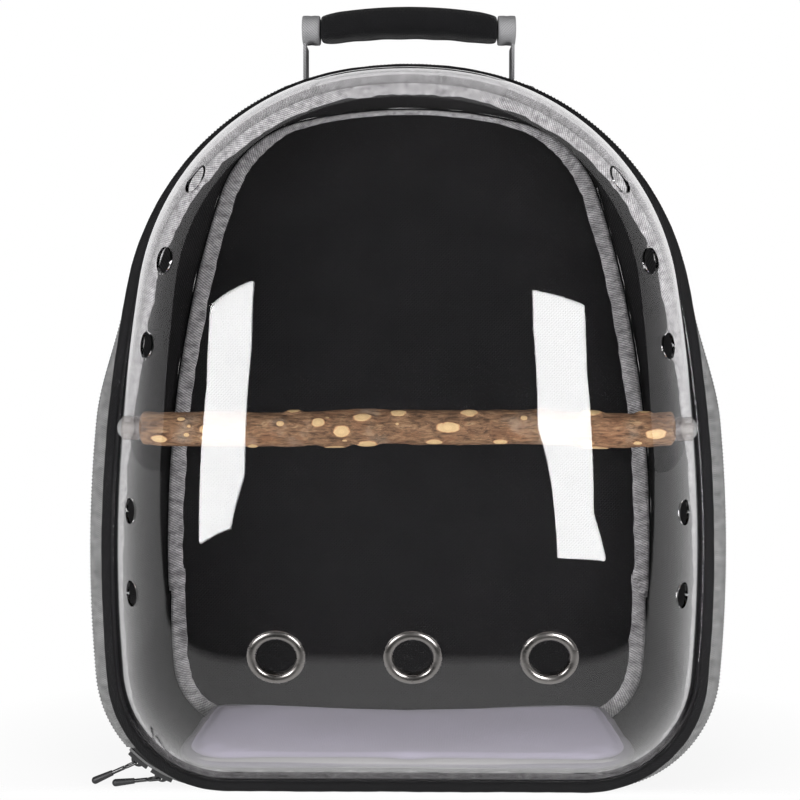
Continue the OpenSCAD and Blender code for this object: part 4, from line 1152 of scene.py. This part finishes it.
def wall_points(z_rows, b_rows, share, out, low):
    """Points of the side wall a share of the way back: from the zip's outline to the back's, with a swell between."""
    a = leaned(spots(z_rows, MOUTH, out))
    b = flat(b_rows, out - GUSSET_T / 2)
    b = np.stack([b[:, 0], np.full(len(b), REAR_Y), b[:, 1]], 1)
    up = ease((flat(b_rows, 0)[:, 1] - 30) / 90)
    way = np.stack([np.cos(z_rows[:, 3]), np.zeros(len(up)), np.sin(z_rows[:, 3])], 1)
    p = a * (1 - share) + b * share + (2.5 * math.sin(math.pi * share) * up)[:, None] * way
    p[:, 2] = np.maximum(p[:, 2], low)
    return p


class CARRIER_OT_bag(bpy.types.Operator):
    """The bag's cloth: padded side wall, back lining and panel, stiffener boards and the grey inner binding"""

    bl_idname = "carrier.bag"
    bl_label = "Bag"

    def execute(self, context):
        z_rows, b_rows = zip_rows(), back_rows()
        s = run_of(spots(z_rows, 0, 0))
        total = s[-1] + 3
        up = ease((flat(b_rows, 0)[:, 1] - 30) / 90)
        pucker = wander(s, 5, (0.18, 0.31, 0.52), total)
        slow = wander(s, 6, (0.02, 0.045, 0.08), total)
        shares = np.concatenate([[0, 0.015, 0.04, 0.07, 0.10], np.linspace(0.16, 0.84, 14), [0.90, 0.93, 0.96, 0.985, 1]])
        rings = []
        for share in shares:
            seam = -0.9 * (np.exp(-(((share - 0.085) / 0.02) ** 2)) + np.exp(-(((share - 0.925) / 0.02) ** 2)))
            edge = np.exp(-min(share, 1 - share) / 0.16)
            out = GUSSET_T / 2 + up * (0.3 * pucker * edge + 0.7 * slow * math.sin(math.pi * share)) + seam * up
            rings.append(wall_points(z_rows, b_rows, share, out, 0.0))
        for share in np.linspace(1, 0, 12):
            edge = math.exp(-min(share, 1 - share) / 0.2)
            rings.append(wall_points(z_rows, b_rows, share, -GUSSET_T / 2 + 0.25 * pucker * edge * up, GUSSET_T))
        mesh = grid("side_wall", np.stack(rings, 1), loop_u=True, loop_v=True)
        piece("side_wall", mesh, "oxford", "bag", "black_oxford", "gusset", angle=65)

        for name, y0, y1, inset, node, wavy in (
            ("back_cloth_inner", BACK_Y, BACK_Y + 1, 3.7, "back_lining", 1),
            ("back_cloth_outer", REAR_Y - 1, REAR_Y, 3.3, "back_panel", 0),
        ):
            k = np.concatenate([[0.0], np.linspace(0.04, 1, 40)])
            edge = np.maximum(flat(b_rows, -inset), [-1e9, 3.3])
            centre = np.array([0.0, 170.0])
            q = centre + (edge - centre)[:, None] * k[None, :, None]
            ripple = np.sin(q[..., 0] / 31 + q[..., 1] / 47) + np.sin(q[..., 1] / 23 - q[..., 0] / 71)
            ripple = wavy * 0.5 * ripple * (1 - k[None] ** 6)
            near = np.stack([q[..., 0], y0 + ripple * 0.5, q[..., 1]], -1)
            far = np.stack([q[..., 0], np.full(q.shape[:2], float(y1)), q[..., 1]], -1)[:, ::-1]
            mesh = grid(name, np.concatenate([near, far], 1), loop_u=True, merge=True)
            box_weave(mesh)
            piece(name, mesh, "oxford", "bag", "black_oxford", node, angle=40)
        dress("back_board", "board")
        dress("base_board", "board")

        s = run_of(spots(b_rows, 0, 0))
        total = s[-1] + 3
        gather = 2.0 * wander(s, 7, (0.2, 0.36, 0.75), total)
        slow = wander(s, 8, (0.07, 0.15, 0.29), total)
        y1 = BACK_Y - 0.45
        top = -GUSSET_T - 2.2
        at = flat(b_rows, 0)
        thin = 1 - 0.66 * ease((at[:, 1] - 330) / 20) * np.exp(-((at[:, 0] / 88) ** 6))
        edge = top - 9.2 * thin * (1 + 0.07 * slow) - 0.35 * gather * thin
        mid = (top + edge) / 2
        lift = 0.45 * gather + 0.3 * slow
        profile = [
            (y1, top), (y1 - 0.1, mid), (y1 - 0.1, edge + 0.4), (y1 - 0.8 - 0.4 * lift, edge - 0.1),
            (y1 - 1.5 - 0.6 * lift, edge + 0.4), (y1 - 1.9 - 0.8 * lift, (mid + edge) / 2),
            (y1 - 2.1 - 0.5 * lift, mid), (y1 - 2.2 - 0.3 * lift, (mid + top) / 2), (y1 - 2.0, top),
        ]

        def above_cover(p):
            q = p.copy()
            q[..., 2] = np.maximum(q[..., 2], 9.2)
            return q

        swept("back_tape", b_rows, profile, "tape", "bag", "grey_twill", "back_binding", place=above_cover)
        return {"FINISHED"}


class CARRIER_OT_mat(bpy.types.Operator):
    """The quilted floor mat with its sewn border, on the covered base"""

    bl_idname = "carrier.mat"
    bl_label = "Floor mat"

    def execute(self, context):
        lo, hi = (np.array(v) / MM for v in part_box("floor_mat"))
        mid, half = (lo + hi) / 2, (hi - lo) / 2
        n = 120
        side, taper, front_r, rear_r = 124.0, 0.1, 32.0, 12.0
        quarters = ((1, 1, rear_r, 0), (-1, 1, rear_r, 90), (-1, -1, front_r, 180), (1, -1, front_r, 270))

        def ring(inset, z):
            """Rounded rectangle drawn in by a distance: four quarter circles, x then scaled by 1 - taper y / depth."""
            turns = []
            for sx, sy, r, first in quarters:
                t = np.radians(first + np.linspace(0, 90, n // 4))
                r = max(r - inset, 0.5)
                x, y = sx * (side - inset - r) + r * np.cos(t), sy * (half[1] - inset - r) + r * np.sin(t)
                turns.append(np.stack([x, y], 1))
            q = np.vstack(turns)
            return np.stack([q[:, 0] * (1 - taper * q[:, 1] / (2 * half[1])), mid[1] + q[:, 1], np.full(n, z)], 1)

        def inside_of(q):
            """Distance of a point inside the mat's outline."""
            y = q[:, 1] - mid[1]
            x = np.abs(q[:, 0]) / (1 - taper * y / (2 * half[1]))
            r = np.where(y < 0, front_r, rear_r)
            ex, ey = x - side + r, np.abs(y) - half[1] + r
            return r - np.hypot(np.maximum(ex, 0), np.maximum(ey, 0)) - np.minimum(np.maximum(ex, ey), 0)

        tall = hi[2] - lo[2]
        rows = [(3, 0.0), (0.9, 0.12), (0.5, 0.35), (0.5, 0.62), (1.0, 0.85), (3.2, 0.96), (9, 0.98), (40, 0.98)]
        p = np.stack([ring(inset, lo[2] + h * tall) for inset, h in rows], 1)
        tips = [np.broadcast_to([mid[0], mid[1], z], (n, 1, 3)) for z in (lo[2], lo[2] + 0.98 * tall)]
        mesh = grid("mat", np.concatenate([tips[0], p, tips[1]], 1), loop_u=True, merge=True)
        made = piece("mat", mesh, "mat", "bag", "mat_cloth", "floor_mat")
        stuffed(made, voxel=4.0, pressure=1.5, cap=2.0)

        def quilt(q):
            """Border seam 9 mm inside the edge, a roll outside it and soft hollows in the field."""
            inside = inside_of(q)
            top = ease((q[:, 2] - lo[2] - 0.5 * tall) / (0.4 * tall))
            seam = -2.0 * np.exp(-(((inside - 9.5) / 1.8) ** 2))
            soft = 0.35 * np.sin(q[:, 0] / 17 + 1) * np.sin(q[:, 1] / 13) * ease(inside / 25)
            ahead = np.clip((hi[1] - q[:, 1]) / (hi[1] - lo[1]), 0, 1)
            sag = -(9.2 * ahead**1.3 + 4.0 * (1 - ahead) ** 2 * np.cos(np.clip(q[:, 0] / 118, -1, 1) * math.pi / 2) ** 2)
            move = np.zeros_like(q)
            move[:, 2] = top * (seam * (1 - 0.6 * ahead) + soft) + sag * np.clip((q[:, 2] - lo[2]) / tall, 0, 1)
            low = q[:, 2] + move[:, 2] < lo[2]
            move[low, 2] = lo[2] - q[low, 2]
            return move

        shifted(made.data, quilt)
        box_weave(made.data)
        border = made.data.attributes.new("border", "FLOAT", "POINT")
        border.data.foreach_set("value", inside_of(points_of(made.data) / MM).astype(np.float32))
        dress("base_cover", "oxford")
        return {"FINISHED"}


# ---- Handle ----


class CARRIER_OT_handle(bpy.types.Operator):
    """The carrying handle: padded grip, grey wraps, webbing legs and their sewn feet"""

    bl_idname = "carrier.handle"
    bl_label = "Handle"

    def execute(self, context):
        lo, hi = (np.array(v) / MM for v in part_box("handle_grip"))
        rise, half_h = 4.5, 8.25
        mid_y, mid_z = (lo[1] + hi[1]) / 2, hi[2] - rise - half_h
        half_l, half_w = hi[0], (hi[1] - lo[1]) / 2
        x = np.linspace(-half_l, half_l, 70)
        a = np.linspace(0, TAU, 64, endpoint=False)
        c, q = np.cos(a), np.sin(a)
        near = ease((half_l - np.abs(x)) / 8)
        k = 0.90 + 0.09 * near
        y = mid_y + k[:, None] * half_w * rounded(c, 0.75)[None]
        z = mid_z + k[:, None] * half_h * rounded(q, 0.75)[None] + rise * (1 - (x / half_l) ** 2)[:, None]
        p = np.stack([np.broadcast_to(x[:, None], y.shape), y, z], -1)
        mesh = grid("grip", capped(p), loop_v=True, merge=True)
        made = piece("grip", mesh, "grip_cloth", "handle_grip", "handle_cloth", "handle_grip")
        stuffed(made, voxel=3.0, pressure=1.5, cap=0.8)

        def seam(v):
            """A sewn seam under the grip and small puckers along it."""
            move = np.zeros_like(v)
            off, below = v[:, 1] - mid_y, v[:, 2] < mid_z
            pucker = 0.18 * np.sin(v[:, 0] / 2.9) * np.exp(-((off / 9.0) ** 2)) * below
            move[:, 2] = 0.9 * (np.exp(-((off / 2.0) ** 2)) * below) + pucker
            return move

        shifted(made.data, seam)
        box_weave(made.data)

        rings = []
        a = np.linspace(0, TAU, 56, endpoint=False)
        c, q = np.cos(a), np.sin(a)
        # Each wrap: distance from the grip's end, and share of its full section there
        stations = [(0.0, 0.80), (0.15, 0.955), (0.6, 1.0), (3.0, 1.01), (5.0, 0.985),
                    (7.0, 1.01), (9.2, 1.0), (9.65, 0.955), (9.8, 0.80)]
        for side in (-1, 1):
            rows = []
            for d, k in stations:
                px = side * (half_l + 0.2 + d)
                rows.append(np.stack([np.full(56, px), mid_y + k * half_w * c * 0.975, mid_z + k * 8.0 * q], 1))
            rings.append(grid("wrap", capped(np.stack(rows, 0)), loop_v=True, merge=True))
        mesh = joined("wraps", rings)
        piece("wraps", mesh, "webbing", "handle_grip", "grey_webbing", "handle_wraps", angle=60)

        for word in ("left", "right"):
            lo, hi = (np.array(v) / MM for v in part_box("handle_leg_" + word))
            cx, cy = (lo[0] + hi[0]) / 2, (lo[1] + hi[1]) / 2
            t = np.linspace(0, 1, 24)
            z = lo[2] + t * (hi[2] - lo[2])
            thick = 0.9 - 0.5 * np.clip((np.abs(t - 0.5) - 0.46) / 0.04, 0, 1) ** 2
            wide = (hi[1] - lo[1]) / 2
            corner = [(-1, -0.94), (-0.8, -1), (0.8, -1), (1, -0.94), (1, 0.94), (0.8, 1), (-0.8, 1), (-1, 0.94)]
            p = np.stack([np.stack([cx + sx * thick, np.full(24, cy + sy * wide), z], 1) for sx, sy in corner], 1)
            name, node = "webbing_leg_" + word, "handle_leg_" + word
            mesh = tube(name, p)
            box_weave(mesh)
            piece(name, mesh, "webbing", node, "grey_webbing", node, angle=60)
        dress_weave("handle_anchors", "webbing", "handle_feet", "bag", "grey_webbing")
        return {"FINISHED"}


def dress_weave(node, finish_name, name, body, slot, bevel=0.5):
    """Replaces a flat webbing node by a copy with soft edges and weave coordinates."""
    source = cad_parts[node].data.copy()
    work = bmesh.new()
    work.from_mesh(source)
    bmesh.ops.remove_doubles(work, verts=work.verts, dist=1e-6)
    bmesh.ops.dissolve_limit(work, angle_limit=0.02, verts=work.verts, edges=work.edges)
    sharp = [e for e in work.edges if len(e.link_faces) == 2 and e.calc_face_angle(0) > 0.6]
    bmesh.ops.bevel(work, geom=sharp, offset=bevel * MM, segments=3, profile=0.6, affect="EDGES")
    bmesh.ops.triangulate(work, faces=work.faces)
    work.to_mesh(source)
    work.free()
    source.name = name
    source.materials.clear()
    box_weave(source)
    return piece(name, source, finish_name, body, slot, node, angle=40)


# ---- Harness ----


class CARRIER_OT_harness(bpy.types.Operator):
    """The back pad, shoulder straps, their yoke, buckles, adjusting webbing and corner tabs"""

    bl_idname = "carrier.harness"
    bl_label = "Harness"

    def execute(self, context):
        wide, tall, low, thick = 222.0, 288.0, 42.0, 11.0
        n, m = 90, 90

        def half_width(v):
            taper = 1 - 0.16 * ease((v - 0.72) / 0.28) - 0.1 * ease((0.45 - v) / 0.45)
            return wide / 2 * taper - 22 * (1 - np.sqrt(np.maximum(1 - (2 * v - 1) ** 8, 0)))

        v = 0.5 - 0.5 * np.cos(np.linspace(0, math.pi, m))
        u = np.sin(np.linspace(-math.pi / 2, math.pi / 2, n))
        uu, vv = np.meshgrid(u, v, indexing="ij")
        swell = np.sqrt(np.maximum(1 - uu**4, 0)) * np.maximum(np.sqrt(np.maximum(1 - np.abs(2 * vv - 1) ** 4, 0)), 0.05)
        x = half_width(vv) * uu
        z = low + tall * vv
        front = np.stack([x, PAD_Y + 1.0 + (thick - 2.2) * swell, z], -1)
        back = np.stack([x, np.full_like(x, PAD_Y), z], -1)[:, ::-1]
        mesh = tube("pad", np.concatenate([front, back], 1))
        made = piece("pad", mesh, "spacer", "bag", "pad_mesh", "back_pad")
        stuffed(made, voxel=4.5, pressure=2.0, cap=1.2)

        def channels(p):
            """Two sewn channels that follow the pad's sides, and a seam along its border."""
            v = np.clip((p[:, 2] - low) / tall, 0, 1)
            half = half_width(v)
            u = p[:, 0] / np.maximum(half, 1)
            rise = np.clip((p[:, 1] - PAD_Y - 1) / 6, 0, 1)
            groove = -5.0 * np.exp(-(((np.abs(u) - 0.34) / 0.045) ** 2))
            groove -= 1.6 * np.exp(-(((half - np.abs(p[:, 0]) - 9) / 2.0) ** 2))
            move = np.zeros_like(p)
            move[:, 1] = rise * groove
            below = p[:, 1] + move[:, 1] < PAD_Y
            move[below, 1] = PAD_Y - p[below, 1]
            return move

        shifted(made.data, channels)
        box_weave(made.data)

        for word, side in (("left", -1), ("right", 1)):
            mesh = tube("strap_" + word, strap_points(side))
            box_weave(mesh)
            made = piece("strap_" + word, mesh, "spacer", "bag", "pad_mesh", "shoulder_strap_" + word, angle=60)
            dress_weave("strap_tail_" + word, "black_webbing", "tail_" + word, "bag", "black_webbing", 0.5)
            dress_weave("ladder_lock_" + word, "buckle", "buckle_" + word, "bag", "black_plastic", 0.6)
        dress_weave("strap_yoke", "black_webbing", "yoke", "bag", "black_webbing", 0.7)
        dress_weave("corner_anchors", "black_webbing", "corner_tabs", "bag", "black_webbing", 0.6)
        return {"FINISHED"}


def strap_points(side):
    """A padded strap: its middle line runs down the back in a bow, and its section is a flat oval with a rim."""
    u = np.linspace(0, 0.986, 90)
    top, run, bow, width, thick = 344.0, 178.0, 18.0, 54.0, 9.0

    def half_thick(t):
        return thick / 2 * (0.5 + 0.5 * ease(t / 0.1)) * (0.5 + 0.5 * ease((1 - t) / 0.1))

    def middle(t):
        return np.stack([
            44 + 34 * ease(t) - 10 * np.sin(math.pi * t),
            PAD_Y + 3.3 + half_thick(t) + 12.5 * ease(t / 0.2) + bow * np.maximum(np.sin(math.pi * t**0.8), 0) ** 1.2,
            top - run * t,
        ], 1)

    c = middle(u)
    way = middle(u + 0.01) - c
    up = np.stack([np.zeros(len(u)), -way[:, 2], way[:, 1]], 1)
    up /= np.linalg.norm(up, axis=1, keepdims=True)
    half = width / 2 * (0.72 + 0.28 * ease(u / 0.15)) * (0.6 + 0.4 * ease((1 - u) / 0.14))
    t = half_thick(u)
    a = np.linspace(0, TAU, 48, endpoint=False)
    sx, sy = rounded(np.cos(a), 0.45), rounded(np.sin(a), 0.7)
    ridge = 1 - 0.30 * np.exp(-(((np.abs(sx) - 0.80) / 0.06) ** 2))
    x = c[:, 0, None] + sx[None] * half[:, None]
    o = (sy * ridge)[None] * t[:, None]
    return np.stack([side * x, c[:, 1, None] + o * up[:, 1, None], c[:, 2, None] + o * up[:, 2, None]], -1)


# ---- Stage ----


class CARRIER_OT_stage(bpy.types.Operator):
    """The floor, the pale world, two soft lamps in front and the camera"""

    bl_idname = "carrier.stage"
    bl_label = "Stage"

    def execute(self, context):
        scene = context.scene
        scene.view_settings.view_transform = "Standard"
        world = bpy.data.worlds.new("studio")
        scene.world = world
        world.use_nodes = True
        g = Graph(world.node_tree)
        ray = g.node("ShaderNodeTexCoord", output=0)
        _, y, z = g.parts(ray)
        camera, glossy, through = g.rays("Camera", "Glossy", "Transmission")
        # Reflections: a dim room in front, a lighter ceiling above it and a pale wall straight behind
        wall = g.ranged(y, 0.35, 0.71, 0.0, 0.30) + g.ranged(y, 0.71, 1.0, 0.0, 0.55)
        level = wall * g.ranged(z, 0.25, 0.6, 1.0, 0.3) + g.ranged(z, 0.12, 0.20, 0.012, 0.038)
        mirror = g.mixed(BLACK, WHITE, level)
        soft = g.ranged(z, -0.2, 1.0, 0.10, 0.50)
        seen = g.mixed(g.mixed(BLACK, WHITE, soft), mirror, glossy)
        seen = g.mixed(seen, WHITE, camera.largest(through * (y > 0.0)))
        back = g.node("ShaderNodeBackground", inputs={0: seen, 1: 1.0})
        g.node("ShaderNodeOutputWorld", inputs={0: back})

        # Floor: a soft shadow near the carrier, white further off; only its rear part shines in reflections
        c = np.array([[-4, -4, 0], [4, -4, 0], [4, 4, 0], [-4, 4, 0]], float) / MM
        mesh = mesh_of("floor", c, np.array([[0, 1, 2, 3]]))
        made, g = material("floor")
        x, y, _ = g.parts(g.object_place())
        away = ((x * x) / 0.029 + (y * y) / 0.022) ** 0.5
        matt = g.principled(Base_Color=(0.90, 0.90, 0.90), Roughness=0.9)
        camera, glossy, through, shadow = g.rays("Camera", "Glossy", "Transmission", "Shadow")
        direct = camera.largest(through)
        lit = g.ranged(y, -0.25, -0.23, 0.03, 0.7).largest(1.0 - glossy)
        glow = g.node("ShaderNodeEmission", inputs={0: g.mixed(BLACK, WHITE, lit), 1: 1.0})
        share = (direct * g.ranged(away, 1.0, 1.8, 0.88, 1.0)).largest(glossy)
        whole = g.node("ShaderNodeMixShader", inputs={0: share, 1: matt, 2: glow})
        # The carrier stands at a table's edge: the open door hangs in front of it, in view and in the light
        unseen = camera.largest(shadow) * g.ranged(y, -0.075, -0.062, 1.0, 0.0)
        clear = g.node("ShaderNodeBsdfTransparent")
        g.close(g.node("ShaderNodeMixShader", inputs={0: unseen, 1: whole, 2: clear}))
        mesh.materials.append(made)
        floor = bpy.data.objects.new("floor", mesh)
        scene.collection.objects.link(floor)

        for name, place, target, size, power in LAMPS:
            lamp = bpy.data.lights.new(name, "AREA")
            lamp.shape = "RECTANGLE"
            lamp.size, lamp.size_y = size
            lamp.energy = power
            made = bpy.data.objects.new(name, lamp)
            made.location = place
            way = Vector(target) - Vector(place)
            made.rotation_euler = way.to_track_quat("-Z", "Y").to_euler()
            scene.collection.objects.link(made)

        pitch, yaw, roll = math.radians(3.1185), math.radians(-0.5143), math.radians(0.0887)
        forward = Vector((math.sin(yaw) * math.cos(pitch), math.cos(yaw) * math.cos(pitch), -math.sin(pitch)))
        right = Vector((math.cos(yaw), -math.sin(yaw), 0))
        up = right.cross(forward)
        right, up = right * math.cos(roll) + up * math.sin(roll), up * math.cos(roll) - right * math.sin(roll)
        view = bpy.data.cameras.new("camera")
        view.lens, view.sensor_width, view.clip_start = 1821.574 / 800 * 36, 36, 0.01
        eye = bpy.data.objects.new("camera", view)
        eye.matrix_world = Matrix((right, up, -forward)).transposed().to_4x4()
        eye.location = (0.00451, -RIM_Y * MM - 0.949135, 0.258545 + RIM_LIFT * MM)
        scene.collection.objects.link(eye)
        scene.camera = eye
        return {"FINISHED"}


# Lamps: name, place, what it points at, width and height, power in watts
LAMPS = (
    ("soft_left", (-0.410, -0.53, 0.182), (-0.40, 0.0, 0.182), (0.29, 0.245), 3.5),
    ("soft_right", (0.270, -0.53, 0.149), (0.265, 0.0, 0.149), (0.205, 0.285), 3.0),
)


class CARRIER_PT_panel(bpy.types.Panel):
    """Lists the carrier's pieces, sizes and colours"""

    bl_idname = "CARRIER_PT_panel"
    bl_label = "Bird Carrier"
    bl_space_type = "VIEW_3D"
    bl_region_type = "UI"
    bl_category = "Carrier"

    def draw(self, context):
        column = self.layout.column(align=True)
        for step in STEPS:
            column.operator(step.bl_idname, text=step.bl_label)
        for group in (context.scene.carrier_sizes, context.scene.carrier_colours):
            box = self.layout.box()
            for name in group.__annotations__:
                box.prop(group, name)


STEPS = (
    CARRIER_OT_stage,
    CARRIER_OT_dome,
    CARRIER_OT_rim,
    CARRIER_OT_eyelets,
    CARRIER_OT_perch,
    CARRIER_OT_zip,
    CARRIER_OT_bag,
    CARRIER_OT_mat,
    CARRIER_OT_handle,
    CARRIER_OT_harness,
)
CLASSES = (CarrierSizes, CarrierColours, *STEPS, CARRIER_PT_panel)


def register():
    for item in CLASSES:
        bpy.utils.register_class(item)
    bpy.types.Scene.carrier_sizes = bpy.props.PointerProperty(type=CarrierSizes)
    bpy.types.Scene.carrier_colours = bpy.props.PointerProperty(type=CarrierColours)


def unregister():
    del bpy.types.Scene.carrier_colours
    del bpy.types.Scene.carrier_sizes
    for item in reversed(CLASSES):
        bpy.utils.unregister_class(item)


def main():
    """Registers the add-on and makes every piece."""
    register()
    bpy.ops.carrier.stage()
    bpy.ops.carrier.dome()
    bpy.ops.carrier.rim()
    bpy.ops.carrier.eyelets()
    bpy.ops.carrier.perch()
    bpy.ops.carrier.zip()
    bpy.ops.carrier.bag()
    bpy.ops.carrier.mat()
    bpy.ops.carrier.handle()
    bpy.ops.carrier.harness()


if __name__ == "__main__":
    main()
